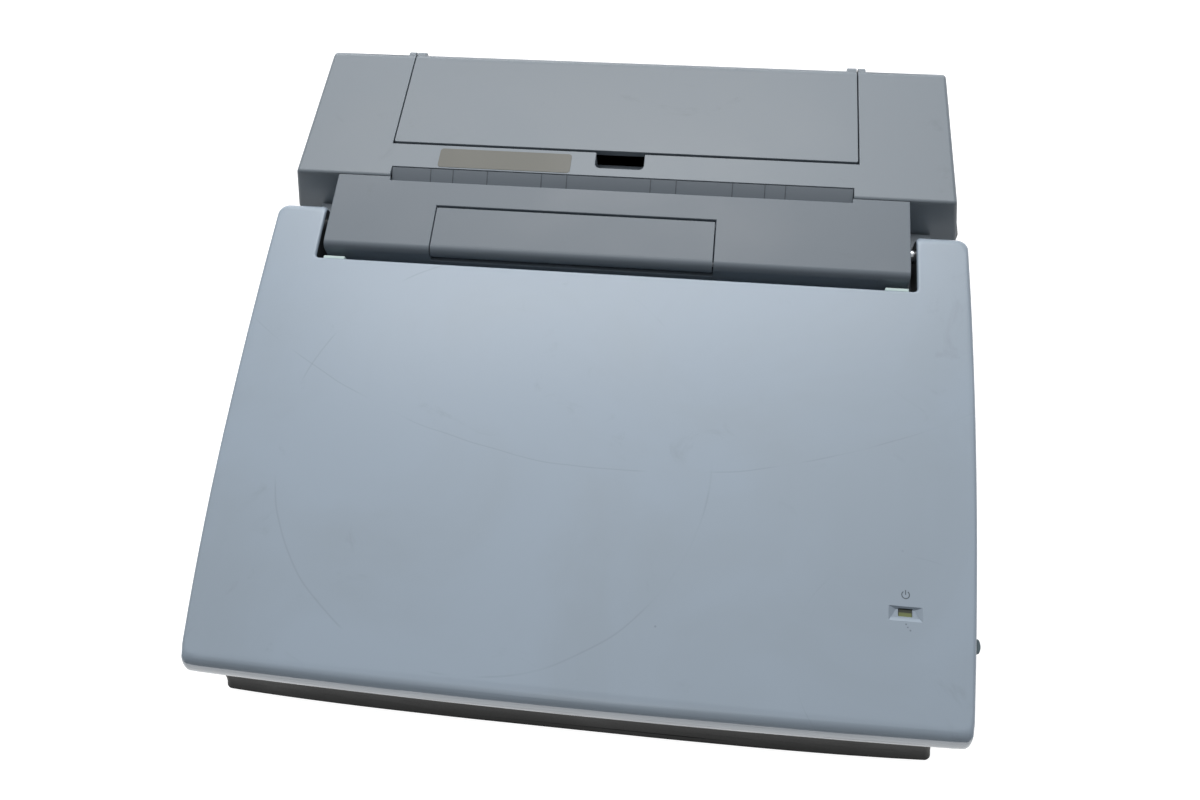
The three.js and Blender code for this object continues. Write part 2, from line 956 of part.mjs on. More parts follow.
function lidOutline(inset) {
  const right = [];
  const cornerX = lidSideX(-lidLength, inset);
  const corner = lidCorner - inset;
  const cornerY = -lidLength + inset + lidBow(cornerX) + corner;
  for (let i = 1; i < sideSteps; i += 1) {
    const x = ((cornerX - corner) * i) / sideSteps;
    right.push(new THREE.Vector2(x, -lidLength + inset + lidBow(x)));
  }
  right.push(...arcPoints(cornerX - corner, cornerY, corner, -Math.PI / 2, 0));
  const rear = lidHalf - inset;
  const ear = earCorner - inset;
  for (let i = 1; i < sideSteps; i += 1) {
    const y = cornerY + ((rear - ear - cornerY) * i) / sideSteps;
    right.push(new THREE.Vector2(lidSideX(y, inset), y));
  }
  right.push(...arcPoints(lidSideX(rear - ear, inset) - ear, rear - ear, ear, 0, Math.PI / 2));
  right.push(new THREE.Vector2(notchHalfWidth + inset, rear));
  right.push(new THREE.Vector2(notchHalfWidth + inset, -notchReach - inset));
  const left = right.map((point) => new THREE.Vector2(-point.x, point.y)).reverse();
  return [...right, ...left];
}

function lidSection(inset) {
  const shape = new THREE.Shape();
  const radius = lidHalf - inset;
  shape.absarc(0, 0, radius, -Math.PI / 2, Math.PI / 2, false);
  shape.absarc(-lidLength + lidHalf, 0, radius, Math.PI / 2, Math.PI * 1.5, false);
  return shape;
}

function lidBody(inset) {
  const wide = lidHalfWidth + overrun;
  const section = moved(
    alongX(lidSection(inset), -wide, wide, 2 * sideSteps),
    (point) => {
      point.y += point.y < -lidLength / 2 ? lidBow(point.x) : 0;
    },
  );
  return solid(section).intersect(
    solid(alongZ(lidOutline(inset), -lidThickness, lidThickness)),
  );
}

function lampRecess() {
  const rear = -lampFromHinge + lampRecessDepth / 2;
  const front = -lampFromHinge - lampRecessDepth / 2;
  const outline = [
    new THREE.Vector2(lampCentre - lampRecessRearWidth / 2, rear),
    new THREE.Vector2(lampCentre - lampRecessFrontWidth / 2, front),
    new THREE.Vector2(lampCentre + lampRecessFrontWidth / 2, front),
    new THREE.Vector2(lampCentre + lampRecessRearWidth / 2, rear),
  ];
  return solid(alongZ(outline, lidHalf - lampRecessDrop, lidHalf + overrun));
}

function lampBlock(grow, z0, z1) {
  return box(
    lampCentre - lampWidth / 2 - grow,
    lampCentre + lampWidth / 2 + grow,
    -lampFromHinge - lampDepth / 2 - grow,
    -lampFromHinge + lampDepth / 2 + grow,
    z0,
    z1,
  );
}

function contrastBlock(x0, x1, alongY, alongHeight) {
  return box(
    x0,
    x1,
    -contrastFromHinge - contrastLength / 2 - alongY,
    -contrastFromHinge + contrastLength / 2 + alongY,
    -contrastHeight / 2 - alongHeight,
    contrastHeight / 2 + alongHeight,
  );
}

function shaftBore() {
  return rodX(shaftRadius + gap, -blockHalfWidth, blockHalfWidth, 0, 0, roundSides);
}

const bezelTop = -lidHalf + bezelThickness;
const contrastX = lidSideX(-contrastFromHinge, 0);

function lidOuterShell() {
  const below = box(
    -overallDepth,
    overallDepth,
    -overallDepth,
    overallDepth,
    -overallDepth,
    bezelTop + gap,
  );
  const innerBore = rodX(
    shaftRadius + gap,
    -notchHalfWidth - wall - gap,
    notchHalfWidth + wall + gap,
    0,
    0,
    roundSides,
  );
  return cut(
    lidBody(0),
    lidBody(wall),
    solid(alongZ(lidOutline(wall + overrun / 2), bezelTop - overrun, -lidHalf + 2 * wall)),
    below,
    lampRecess(),
    lampBlock(gap, 0, lidHalf),
    innerBore,
    contrastBlock(contrastX - overrun, contrastX + overrun, contrastTravel + gap, gap),
  );
}

function lidInnerBezel() {
  const above = box(
    -overallDepth,
    overallDepth,
    -overallDepth,
    overallDepth,
    bezelTop,
    overallDepth,
  );
  const window = box(
    -screenHalfWidth,
    screenHalfWidth,
    -screenFromHinge - screenDepth,
    -screenFromHinge,
    -lidThickness,
    0,
  );
  return cut(lidBody(0), above, window);
}

function lcdPanel() {
  const base = bezelTop + gap;
  return box(
    -screenHalfWidth - panelMargin,
    screenHalfWidth + panelMargin,
    -screenFromHinge - screenDepth - panelMargin,
    -screenFromHinge + panelMargin,
    base,
    base + panelThickness,
  );
}

function lcdCircuitBoard() {
  const base = bezelTop + 2 * gap + panelThickness;
  return box(
    -screenHalfWidth,
    screenHalfWidth,
    -screenFromHinge - screenDepth,
    -screenFromHinge,
    base,
    base + panelBoardThickness,
  );
}

function lidHinge(side) {
  const innerWall = notchHalfWidth + wall + gap;
  const shaft = rodX(
    shaftRadius,
    ...span(side, barHalfWidth - shaftReach, innerWall + bracketThickness),
    0,
    0,
    roundSides,
  );
  const bracket = box(
    ...span(side, innerWall, innerWall + bracketThickness),
    bracketRearReach - bracketLength,
    bracketRearReach,
    -bracketHalfHeight,
    bracketHalfHeight,
  );
  return join(shaft, bracket);
}

function hingeClutch(side) {
  const far = barHalfWidth - wall - gap;
  const block = box(
    ...span(side, far - clutchWidth, far),
    -clutchHalfDepth,
    clutchHalfDepth,
    deckTop + gap,
    clutchHalfDepth,
  );
  return cut(block, shaftBore());
}

function lidStopPad(side) {
  const middle = side * padCentre;
  const rear = -notchReach + gap + padThickness;
  return box(
    middle - padWidth / 2,
    middle + padWidth / 2,
    rear - padThickness,
    rear,
    padLow,
    padLow + padHeight,
  );
}

function powerLamp() {
  const roof = lidHalf - wall - gap;
  return join(
    lampBlock(0, roof - lampBodyHeight / 2, lidHalf - lampRecessDrop - gap / 2),
    lampBlock(lampFlange, roof - lampBodyHeight, roof),
  );
}

function contrastSlider() {
  const innerX = contrastX - wall - 2 * gap;
  return join(
    contrastBlock(innerX - wall / 2, contrastX + contrastProud, 0, 0),
    contrastBlock(innerX - wall / 2, innerX, contrastFlange, contrastFlange),
  );
}

// Printer frame, feed roller and its gears
function framePlate(side) {
  const [x0, x1] = span(side, frameInnerHalf, frameInnerHalf + frameThickness);
  const outline = [
    new THREE.Vector2(pinchY - pinchRadius + gap, floorTopZ + gap),
    new THREE.Vector2(rearY - wall - housingRearSpread, floorTopZ + gap),
    new THREE.Vector2(rearY - wall - housingRearSpread, rodHeight + pulleyRadius),
    new THREE.Vector2(rollerY + rollerRadius, rollerHeight + rollerRadius),
    new THREE.Vector2(pinchY + pinchRadius, rollerHeight + rollerRadius),
    new THREE.Vector2(pinchY - pinchRadius + gap, rollerHeight + pinchShaftRadius),
  ];
  const reach = frameInnerHalf + overrun;
  return cut(
    solid(alongX(outline, x0, x1)),
    rodX(rollerShaftRadius + gap, -reach, reach, rollerY, rollerHeight, smallSides),
    rodX(pinchShaftRadius + gap, -reach, reach, pinchY, rollerHeight, smallSides),
    rodX(rodRadius + gap, -reach, reach, rodY, rodHeight, smallSides),
  );
}

const gearX = frameInnerHalf + frameThickness + 2 * gap;
const gearRadius = (toothModule * gearTeeth) / 2;
const pinionRadius = (toothModule * pinionTeeth) / 2;
const gearCentres = gearRadius + pinionRadius + gearPlay;
const motorY = rollerY + gearCentres * Math.cos(meshAngle);
const motorZ = rollerHeight + gearCentres * Math.sin(meshAngle);

// A spur gear outline: four points a tooth, with the tooth at the given angle on its first gap
function gearOutline(teeth, y, z, phase) {
  const pitch = (toothModule * teeth) / 2;
  const tip = pitch + toothModule * toothTipShare;
  const root = pitch - toothModule * toothRootShare;
  const stations = [
    [root, -toothRootAngleShare],
    [tip, -toothTipAngleShare],
    [tip, toothTipAngleShare],
    [root, toothRootAngleShare],
  ];
  const points = [];
  for (let tooth = 0; tooth < teeth; tooth += 1) {
    stations.forEach(([radius, share]) => {
      const angle = phase + ((tooth + share) * 2 * Math.PI) / teeth;
      points.push(new THREE.Vector2(y + radius * Math.cos(angle), z + radius * Math.sin(angle)));
    });
  }
  return points;
}

function feedRoller() {
  const tube = rodX(
    rollerRadius,
    -rollerHalfLength,
    rollerHalfLength,
    rollerY,
    rollerHeight,
    roundSides,
  );
  const shaft = rodX(
    rollerShaftRadius,
    -frameInnerHalf - frameThickness,
    gearX + gearWidth,
    rollerY,
    rollerHeight,
    smallSides,
  );
  return join(tube, shaft);
}

function feedGear() {
  const disc = alongX(
    gearOutline(gearTeeth, rollerY, rollerHeight, meshAngle),
    gearX,
    gearX + gearWidth,
  );
  const bore = rodX(
    rollerShaftRadius + gap,
    gearX - overrun,
    gearX + gearWidth + overrun,
    rollerY,
    rollerHeight,
    smallSides,
  );
  return cut(solid(disc), bore);
}

function motorPinion() {
  const phase = meshAngle + Math.PI + Math.PI / pinionTeeth;
  const disc = alongX(
    gearOutline(pinionTeeth, motorY, motorZ, phase),
    gearX,
    gearX + gearWidth,
  );
  const shaft = rodX(
    motorShaftRadius,
    gearX + gearWidth / 2,
    gearX + gearWidth + motorShaftReach,
    motorY,
    motorZ,
    smallSides,
  );
  return join(solid(disc), shaft);
}

function feedMotor() {
  const near = gearX + gearWidth + gap;
  const can = rodX(feedMotorRadius, near, near + feedMotorLength, motorY, motorZ, roundSides);
  const footBlock = box(
    near,
    near + feedMotorLength,
    motorY - feedMotorRadius / 2,
    motorY + feedMotorRadius / 2,
    floorTopZ + gap,
    motorZ,
  );
  const bore = rodX(
    motorShaftRadius + gap,
    near - overrun,
    near + motorShaftReach + gap,
    motorY,
    motorZ,
    smallSides,
  );
  return cut(join(can, footBlock), bore);
}

function pinchRoller() {
  const reach = frameInnerHalf + frameThickness;
  return join(
    rodX(pinchRadius, -pinchHalfLength, pinchHalfLength, pinchY, rollerHeight, smallSides),
    rodX(pinchShaftRadius, -reach, reach, pinchY, rollerHeight, smallSides),
  );
}

function paperGuide() {
  const half = frameInnerHalf - gap;
  return box(
    -half,
    half,
    guideFrontY,
    rearY - wall - gap,
    guideTopZ - guideThickness,
    guideTopZ,
  );
}

// Print carriage and its belt
function carriageRod() {
  const reach = frameInnerHalf + frameThickness;
  return rodX(rodRadius, -reach, reach, rodY, rodHeight, smallSides);
}

const carriageBase = guideTopZ + carriageLift;
const carriageTop = carriageBase + carriageHeight;
const beltLow = rodHeight - carriageTabHeight / 2;

function printCarriage() {
  const block = box(
    -carriageHalfWidth,
    carriageHalfWidth,
    rodY - carriageFront,
    rodY + carriageRear,
    carriageBase,
    carriageTop,
  );
  const tab = box(
    -carriageTabHalfWidth,
    carriageTabHalfWidth,
    rodY,
    beltY - pulleyRadius - beltThickness - gap,
    beltLow,
    beltLow + carriageTabHeight,
  );
  const bore = rodX(
    rodRadius + gap,
    -carriageHalfWidth - overrun,
    carriageHalfWidth + overrun,
    rodY,
    rodHeight,
    smallSides,
  );
  return cut(join(block, tab), bore);
}

function inkCartridge() {
  return box(
    -carriageHalfWidth + cartridgeInset,
    carriageHalfWidth - cartridgeInset,
    rodY - carriageFront + cartridgeInset,
    rodY + carriageRear - cartridgeInset,
    carriageTop + gap,
    carriageTop + gap + cartridgeHeight,
  );
}

function drivePulley() {
  const top = beltLow + carriageTabHeight;
  return join(
    rodZ(pulleyRadius - gap, -pulleyFromMiddle, beltY, beltLow, top, roundSides),
    rodZ(pulleyShaftRadius, -pulleyFromMiddle, beltY, guideTopZ + gap, top + 2 * gap, smallSides),
  );
}

function idlerPulley() {
  const top = beltLow + carriageTabHeight;
  return join(
    rodZ(pulleyRadius - gap, pulleyFromMiddle, beltY, beltLow, top, roundSides),
    rodZ(pulleyShaftRadius, pulleyFromMiddle, beltY, guideTopZ + gap, top + wall, smallSides),
  );
}

function beltLoop(radius) {
  const shape = new THREE.Shape();
  shape.absarc(pulleyFromMiddle, beltY, radius, -Math.PI / 2, Math.PI / 2, false);
  shape.absarc(-pulleyFromMiddle, beltY, radius, Math.PI / 2, Math.PI * 1.5, false);
  return shape;
}

function carriageBelt() {
  const outer = alongZ(beltLoop(pulleyRadius + beltThickness), beltLow, beltLow + carriageTabHeight);
  const inner = alongZ(
    beltLoop(pulleyRadius),
    beltLow - overrun,
    beltLow + carriageTabHeight + overrun,
  );
  return cut(solid(outer), solid(inner));
}

function carriageMotor() {
  const low = beltLow + carriageTabHeight + 3 * gap;
  return rodZ(
    carriageMotorRadius,
    -pulleyFromMiddle,
    beltY,
    low,
    low + carriageMotorHeight,
    roundSides,
  );
}

// Electronics, power and the disk drive
function mainBoard() {
  const base = floorTopZ + gap;
  const top = base + boardThickness;
  const left = wall + boardSideClearance - trayHalfWidth;
  const right = driveRightX - driveLength - boardDriveClearance;
  const rear = boardFrontY + 2 * boardHalfDepth;
  const board = box(left, right, boardFrontY, rear, base, top);
  const chips = chipPlaceShares.map((share) => {
    const x = left + (right - left) * share;
    return box(
      x,
      x + chipSize,
      boardFrontY + boardHalfDepth,
      boardFrontY + boardHalfDepth + chipSize,
      base,
      top + chipHeight,
    );
  });
  return join(board, ...chips);
}

function powerSupply() {
  const left = -blockHalfWidth + 2 * wall;
  const rear = rearY - supplyRearClear;
  const base = floorTopZ + gap;
  const board = box(left, left + supplyWidth, rear - supplyDepth, rear, base, base + supplyBoard);
  const coil = box(
    left + supplyWidth * supplyCoilSideShare,
    left + supplyWidth - supplyWidth * supplyCoilSideShare,
    rear - supplyDepth / 2,
    rear - supplyDepth * supplyCoilRearShare,
    base,
    base + supplyHeight,
  );
  const can = rodZ(
    supplyWidth / 4,
    left + supplyWidth / 2,
    rear - supplyDepth * supplyCanPlaceShare,
    base,
    base + supplyHeight * supplyCanHeightShare,
    smallSides,
  );
  return join(board, coil, can);
}

function powerInlet() {
  return cut(
    inletBox(0, rearY - inletDepth, rearY - gap),
    inletBox(-inletRim, rearY - inletDepth + inletRim, rearY + overrun),
  );
}

function ejectBlock(x0, x1, grow) {
  const y = driveFrontY + ejectFromEnd;
  const z = floorTopZ + gap + driveHeight / 4;
  return box(
    x0,
    x1,
    y - ejectWidth / 2 - grow,
    y + ejectWidth / 2 + grow,
    z - ejectHeight / 2 - grow,
    z + ejectHeight / 2 + grow,
  );
}

function floppyDrive() {
  const base = floorTopZ + gap;
  const body = box(
    driveRightX - driveLength,
    driveRightX,
    driveFrontY,
    driveFrontY + driveWidth,
    base,
    base + driveHeight,
  );
  const slotLow = base + driveHeight * diskSlotLowShare;
  const slot = box(
    driveRightX - diskSlotDepth,
    driveRightX + overrun,
    driveMiddleY - diskSlotWidth / 2,
    driveMiddleY + diskSlotWidth / 2,
    slotLow,
    slotLow + diskSlotHeight,
  );
  return cut(body, slot, ejectBlock(driveRightX - ejectDepth - gap, driveRightX + overrun, gap));
}

function ejectButton() {
  return ejectBlock(driveRightX - ejectDepth / 2, driveRightX + ejectProud + driveRecess, 0);
}

function powerSwitchKnob() {
  const innerX = trayHalfWidth - Math.tan(trayDraft) * (switchFromFloor + switchHeight) - wall - gap;
  const knob = (x0, x1, grow) =>
    box(
      x0,
      x1,
      switchY - switchLength / 2 - grow,
      switchY + switchLength / 2 + grow,
      switchZ - switchHeight / 2 - grow,
      switchZ + switchHeight / 2 + grow,
    );
  return join(
    knob(innerX - wall, switchWallX + switchProud, 0),
    knob(innerX - wall, innerX - 2 * gap, switchFlange),
  );
}

// The machine, with what slopes in a turned group
const machine = new THREE.Group();
const slopedGroup = new THREE.Group();
slopedGroup.position.set(0, hingeY, hingeZ);
slopedGroup.rotation.x = lidTilt;
machine.add(slopedGroup);
const footFrontY = trayFrontY + footInset;
const footRearY = rearY - footInset;
const [screwFrontLeft, screwFrontRight, screwRearLeft, screwRearRight] = caseScrewPlaces();

machine.add(
  mesh("bottom_case", bottomCase(), casePlastic),
  mesh("keyboard_deck", keyboardDeck(), housingPlastic),
  mesh("printer_housing", printerHousing(), housingPlastic),
  mesh("printer_cover", printerCover(), housingPlastic),
  mesh("cover_hinge_pin_left", coverHingePin(-1), steel),
  mesh("cover_hinge_pin_right", coverHingePin(1), steel),
  mesh("notice_label", noticeLabel(), labelFilm),
  mesh("paper_chute", paperChute(), barPlastic),
  mesh("hinge_bar", hingeBar(), barPlastic),
  mesh("paper_flap", paperFlap(), barPlastic),
  mesh("flap_hinge_pin", flapPin(flapPinRadius), steel),
  mesh("rubber_foot_front_left", foot(-1, footFrontY), blackRubber),
  mesh("rubber_foot_front_right", foot(1, footFrontY), blackRubber),
  mesh("rubber_foot_rear_left", foot(-1, footRearY), blackRubber),
  mesh("rubber_foot_rear_right", foot(1, footRearY), blackRubber),
  mesh("case_screw_front_left", caseScrew(screwFrontLeft), steel),
  mesh("case_screw_front_right", caseScrew(screwFrontRight), steel),
  mesh("case_screw_rear_left", caseScrew(screwRearLeft), steel),
  mesh("case_screw_rear_right", caseScrew(screwRearRight), steel),
  mesh("printer_frame_left", framePlate(-1), steel),
  mesh("printer_frame_right", framePlate(1), steel),
  mesh("feed_roller", feedRoller(), blackRubber),
  mesh("feed_gear", feedGear(), gearWhite),
  mesh("motor_pinion", motorPinion(), gearWhite),
  mesh("feed_motor", feedMotor(), steel),
  mesh("pinch_roller", pinchRoller(), blackRubber),
  mesh("paper_guide", paperGuide(), darkPlastic),
  mesh("carriage_rod", carriageRod(), steel),
  mesh("print_carriage", printCarriage(), darkPlastic),
  mesh("ink_cartridge", inkCartridge(), keyPlastic),
  mesh("drive_pulley", drivePulley(), gearWhite),
  mesh("idler_pulley", idlerPulley(), gearWhite),
  mesh("carriage_belt", carriageBelt(), blackRubber),
  mesh("carriage_motor", carriageMotor(), steel),
  mesh("main_board", mainBoard(), boardGreen),
  mesh("power_supply", powerSupply(), boardGreen),
  mesh("power_inlet", powerInlet(), darkPlastic),
  mesh("floppy_drive", floppyDrive(), darkPlastic),
  mesh("eject_button", ejectButton(), keyPlastic),
  mesh("power_switch_knob", powerSwitchKnob(), darkPlastic),
);

slopedGroup.add(
  mesh("lid_outer_shell", lidOuterShell(), lidPlastic),
  mesh("lid_inner_bezel", lidInnerBezel(), housingPlastic),
  mesh("lcd_panel", lcdPanel(), glass),
  mesh("lcd_circuit_board", lcdCircuitBoard(), boardGreen),
  mesh("lid_hinge_left", lidHinge(-1), steel),
  mesh("lid_hinge_right", lidHinge(1), steel),
  mesh("hinge_clutch_left", hingeClutch(-1), darkPlastic),
  mesh("hinge_clutch_right", hingeClutch(1), darkPlastic),
  mesh("lid_stop_pad_left", lidStopPad(-1), padRubber),
  mesh("lid_stop_pad_right", lidStopPad(1), padRubber),
  mesh("power_lamp", powerLamp(), clearPlastic),
  mesh("contrast_slider", contrastSlider(), darkPlastic),
  mesh("keyboard_plate", keyboardPlate(), steel),
);

Object.entries(keyWidthShares).forEach(([name, widths], index) => {
  slopedGroup.add(mesh(name, keyRow(widths, index), keyPlastic));
});

export default machine;
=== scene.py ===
# The looks of an electronic word processor: moulded plastic shells, a printer block, a hinged
# display lid and a keyboard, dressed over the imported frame. Shapes are in millimetres and are
# turned into metres where a mesh is made; materials, lights and the camera are in metres.
import math

import bmesh
import bpy
from mathutils import Matrix, Vector
from mathutils.bvhtree import BVHTree


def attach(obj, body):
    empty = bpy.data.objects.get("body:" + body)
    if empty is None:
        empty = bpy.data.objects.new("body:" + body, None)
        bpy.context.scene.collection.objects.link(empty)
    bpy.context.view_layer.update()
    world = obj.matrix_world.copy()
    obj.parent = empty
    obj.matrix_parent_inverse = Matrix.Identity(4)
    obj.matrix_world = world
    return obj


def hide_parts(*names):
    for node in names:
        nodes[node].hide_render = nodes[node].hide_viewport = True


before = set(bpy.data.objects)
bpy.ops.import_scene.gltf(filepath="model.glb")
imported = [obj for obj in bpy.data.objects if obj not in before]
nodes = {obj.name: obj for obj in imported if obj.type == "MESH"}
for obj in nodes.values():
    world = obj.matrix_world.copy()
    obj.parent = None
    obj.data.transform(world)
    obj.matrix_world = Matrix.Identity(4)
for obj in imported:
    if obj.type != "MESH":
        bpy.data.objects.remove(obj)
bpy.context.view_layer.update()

MM = 0.001
BEYOND = 300.0  # a coordinate past the whole machine, for cutting boxes
QUARTER = math.pi / 2

# Sizes of the machine
TOP = 89.0
SPLIT = 62.0
REAR = 196.05
FRONT = -196.05
FLOOR = 2.0
WALL = 2.5
SEAM = 0.5
BLOCK_HALF = 197.2
HOUSING_HALF = 191.0
HOUSING_LEAN = 5.7
HOUSING_DEPTH = 99.7
HOUSING_REAR = REAR - HOUSING_LEAN
HOUSING_FRONT = HOUSING_REAR - HOUSING_DEPTH
FRONT_LEAN = 5.6
HOUSING_FOOT_FRONT = HOUSING_FRONT - FRONT_LEAN
COVER_HALF = 137.0
COVER_SEAM = HOUSING_REAR - 75.3
COVER_AXIS = (HOUSING_REAR - 2.0, TOP - 5.0)
KNUCKLE_RADIUS = 4.5
COVER_PIN_HOLE = 1.8
HINGE_Y = HOUSING_FRONT - 27.6
HINGE_Z = TOP - 14.25
HINGE_HOLE = 4.3
TILT = math.radians(6.07)
LID_HALF = 9.0
LID_LENGTH = (HINGE_Y - FRONT - LID_HALF) / math.cos(TILT) + LID_HALF - 0.08
BAR_HALF = 164.3
BAR_TILT = math.radians(5.5)
BAR_REAR = HOUSING_FRONT - SEAM
BAR_FRONT = BAR_REAR - 48.4
BAR_ROLL = 4.5
ROLL_Y = BAR_FRONT + BAR_ROLL
FLAP_LEFT, FLAP_RIGHT = -102.0, 57.5
FLAP_REAR = BAR_REAR - 19.6
FLAP_PIN_HOLE = 1.5
CHUTE_LIP_Y = BAR_REAR - 2.6
NOTCH_HALF = 168.2
NOTCH_REACH = 26.3
TRAY_HALF = 186.0
EAR_SWEEP = 10.75
SCREEN = (-106.0, 106.0, -227.0, -68.0)
LAMP_X, LAMP_Y = 160.3, -199.1
KNOB_Y = -210.6


def sloped(x, y, z):
    """A point of the lid's own frame, as a point of the machine."""
    return (
        x,
        HINGE_Y + y * math.cos(TILT) - z * math.sin(TILT),
        HINGE_Z + y * math.sin(TILT) + z * math.cos(TILT),
    )


def bar_top(y):
    return TOP - (BAR_REAR - y) * math.tan(BAR_TILT)


ROLL_Z = bar_top(ROLL_Y) - BAR_ROLL / math.cos(BAR_TILT)


# Outlines and solids
def loft(rings):
    """Points and faces of a closed skin over rings with equal counts, listed counter-clockwise."""
    count = len(rings[0])
    points = [p for ring in rings for p in ring]
    faces = []
    for low in range(0, len(points) - count, count):
        for i in range(count):
            j = (i + 1) % count
            faces.append((low + i, low + j, low + count + j, low + count + i))
    faces.append(tuple(reversed(range(count))))
    faces.append(tuple(range(len(points) - count, len(points))))
    return points, faces


def inset(outline, depth):
    """The outline moved inwards."""
    moved = []
    for i, (x, y) in enumerate(outline):
        ax, ay = outline[i - 1]
        bx, by = outline[(i + 1) % len(outline)]
        before = Vector((x - ax, y - ay)).normalized()
        after = Vector((bx - x, by - y)).normalized()
        normal = Vector((-(before.y + after.y), before.x + after.x)).normalized()
        share = normal.dot(Vector((-before.y, before.x)))
        moved.append((x + normal.x * depth / share, y + normal.y * depth / share))
    return moved


def arc(x, y, radius, start, end, steps):
    angles = [start + (end - start) * i / steps for i in range(steps + 1)]
    return [(x + radius * math.cos(a), y + radius * math.sin(a)) for a in angles]


def rounded_polygon(corners, radii, steps):
    """A convex outline, listed counter-clockwise, with each corner rounded by its own radius."""
    made = []
    for i, (corner, radius) in enumerate(zip(corners, radii)):
        here = Vector(corner)
        if radius <= 0:
            made.append(tuple(here))
            continue
        before = (Vector(corners[i - 1]) - here).normalized()
        after = (Vector(corners[(i + 1) % len(corners)]) - here).normalized()
        half = before.angle(after) / 2
        centre = here + (before + after).normalized() * (radius / math.sin(half))
        first = here + before * (radius / math.tan(half)) - centre
        start = math.atan2(first.y, first.x)
        made += arc(centre.x, centre.y, first.length, start, start + math.pi - 2 * half, steps)
    return made


def rounded_rectangle(x0, x1, y0, y1, front, rear, steps):
    return (
        arc(x1 - front, y0 + front, front, -QUARTER, 0, steps)
        + arc(x1 - rear, y1 - rear, rear, 0, QUARTER, steps)
        + arc(x0 + rear, y1 - rear, rear, QUARTER, math.pi, steps)
        + arc(x0 + front, y0 + front, front, math.pi, math.pi + QUARTER, steps)
    )


def box_mesh(x0, x1, y0, y1, z0, z1):
    points = [(x, y, z) for z in (z0, z1) for (x, y) in ((x0, y0), (x1, y0), (x1, y1), (x0, y1))]
    faces = [(3, 2, 1, 0), (4, 5, 6, 7), (0, 1, 5, 4), (1, 2, 6, 5), (2, 3, 7, 6), (3, 0, 4, 7)]
    return points, faces


def prism_x(outline, x0, x1):
    """An outline in Y and Z, listed counter-clockwise seen from +X, pushed along X."""
    points, faces = loft([[(x, y, z) for y, z in outline] for x in (x0, x1)])
    return points, faces[-2:] + faces[:-2]


def prism_z(outline, z0, z1):
    return loft([[(x, y, z) for x, y in outline] for z in (z0, z1)])


def rod_x(radius, x0, x1, y, z, sides=48):
    return prism_x(arc(y, z, radius, 0, 2 * math.pi * (sides - 1) / sides, sides - 1), x0, x1)


def rod_z(radius, x, y, z0, z1, sides=48):
    return prism_z(arc(x, y, radius, 0, 2 * math.pi * (sides - 1) / sides, sides - 1), z0, z1)


# Objects
def make_object(name, mesh):
    obj = bpy.data.objects.new(name, mesh)
    bpy.context.scene.collection.objects.link(obj)
    return obj


def make_piece(name, shape, place=None):
    """An object from the points and faces of a shape, in millimetres."""
    points, faces = shape
    if place:
        points = [place(*p) for p in points]
    mesh = bpy.data.meshes.new(name)
    mesh.from_pydata([[c * MM for c in p] for p in points], [], faces)
    mesh.validate()
    return make_object(name, mesh)


def remove(obj):
    mesh = obj.data
    bpy.data.objects.remove(obj)
    bpy.data.meshes.remove(mesh)


def apply_modifiers(obj):
    bpy.context.view_layer.update()
    graph = bpy.context.evaluated_depsgraph_get()
    mesh = bpy.data.meshes.new_from_object(obj.evaluated_get(graph))
    obj.modifiers.clear()
    old = obj.data
    obj.data = mesh
    bpy.data.meshes.remove(old)
    mesh.name = obj.name


def combine_with(obj, tool, operation):
    """Joins, cuts or keeps the common part of obj and the tool, which is then removed."""
    step = obj.modifiers.new("step", "BOOLEAN")
    step.operation = operation
    step.solver = "MANIFOLD"
    step.object = tool
    apply_modifiers(obj)
    remove(tool)


def combine(obj, shapes, operation, place=None):
    for shape in shapes:
        combine_with(obj, make_piece("tool", shape, place), operation)


def tidy(obj, flat=0.4):
    """Merges doubles and joins faces that lie in one plane."""
    work = bmesh.new()
    work.from_mesh(obj.data)
    bmesh.ops.remove_doubles(work, verts=work.verts, dist=0.004 * MM)
    limit = math.radians(flat)
    bmesh.ops.dissolve_limit(work, angle_limit=limit, verts=work.verts, edges=work.edges)
    work.to_mesh(obj.data)
    work.free()
    return obj


def soften(obj, width=0.4, segments=2, angle=32):
    """Rounds the sharp edges a little, puts stray corners back on the form, and shades it smooth."""
    work = bmesh.new()
    work.from_mesh(obj.data)
    form = BVHTree.FromBMesh(work)
    work.free()
    obj.data.shade_smooth()
    obj.data.set_sharp_from_angle(angle=math.radians(angle))
    bevel = obj.modifiers.new("edges", "BEVEL")
    bevel.width = width * MM
    bevel.segments = segments
    bevel.limit_method = "ANGLE"
    bevel.angle_limit = math.radians(angle)
    bevel.use_clamp_overlap = False
    bevel.harden_normals = False
    apply_modifiers(obj)
    for vertex in obj.data.vertices:
        place, _, _, distance = form.find_nearest(vertex.co)
        if distance > 0.45 * width * MM:
            vertex.co = place
    obj.data.update()
    weighted = obj.modifiers.new("shading", "WEIGHTED_NORMAL")
    weighted.keep_sharp = False
    weighted.weight = 80
    return obj


def dress(obj, finish, body, slot, *replaced):
    """Gives a finished piece its material, its body and the nodes that it stands for."""
    obj.data.materials.clear()
    obj.data.materials.append(FINISH[finish])
    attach(obj, body)
    if replaced:
        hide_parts(*replaced)


def merged_copy(node):
    """A node's own shape with merged vertices and whole faces."""
    obj = make_object(node + "_piece", nodes[node].data.copy())
    obj.data.name = node + "_piece"
    return tidy(obj)


# Shader nodes
def feed(tree, node, values):
    """Gives a node's inputs their constants, or links them to other nodes' outputs."""
    for label, value in values.items():
        if isinstance(value, bpy.types.NodeSocket):
            tree.links.new(value, node.inputs[label])
        else:
            node.inputs[label].default_value = value
    return node


def add_node(tree, kind, values, **settings):
    node = tree.nodes.new("ShaderNode" + kind)
    for setting, value in settings.items():
        setattr(node, setting, value)
    return feed(tree, node, values)


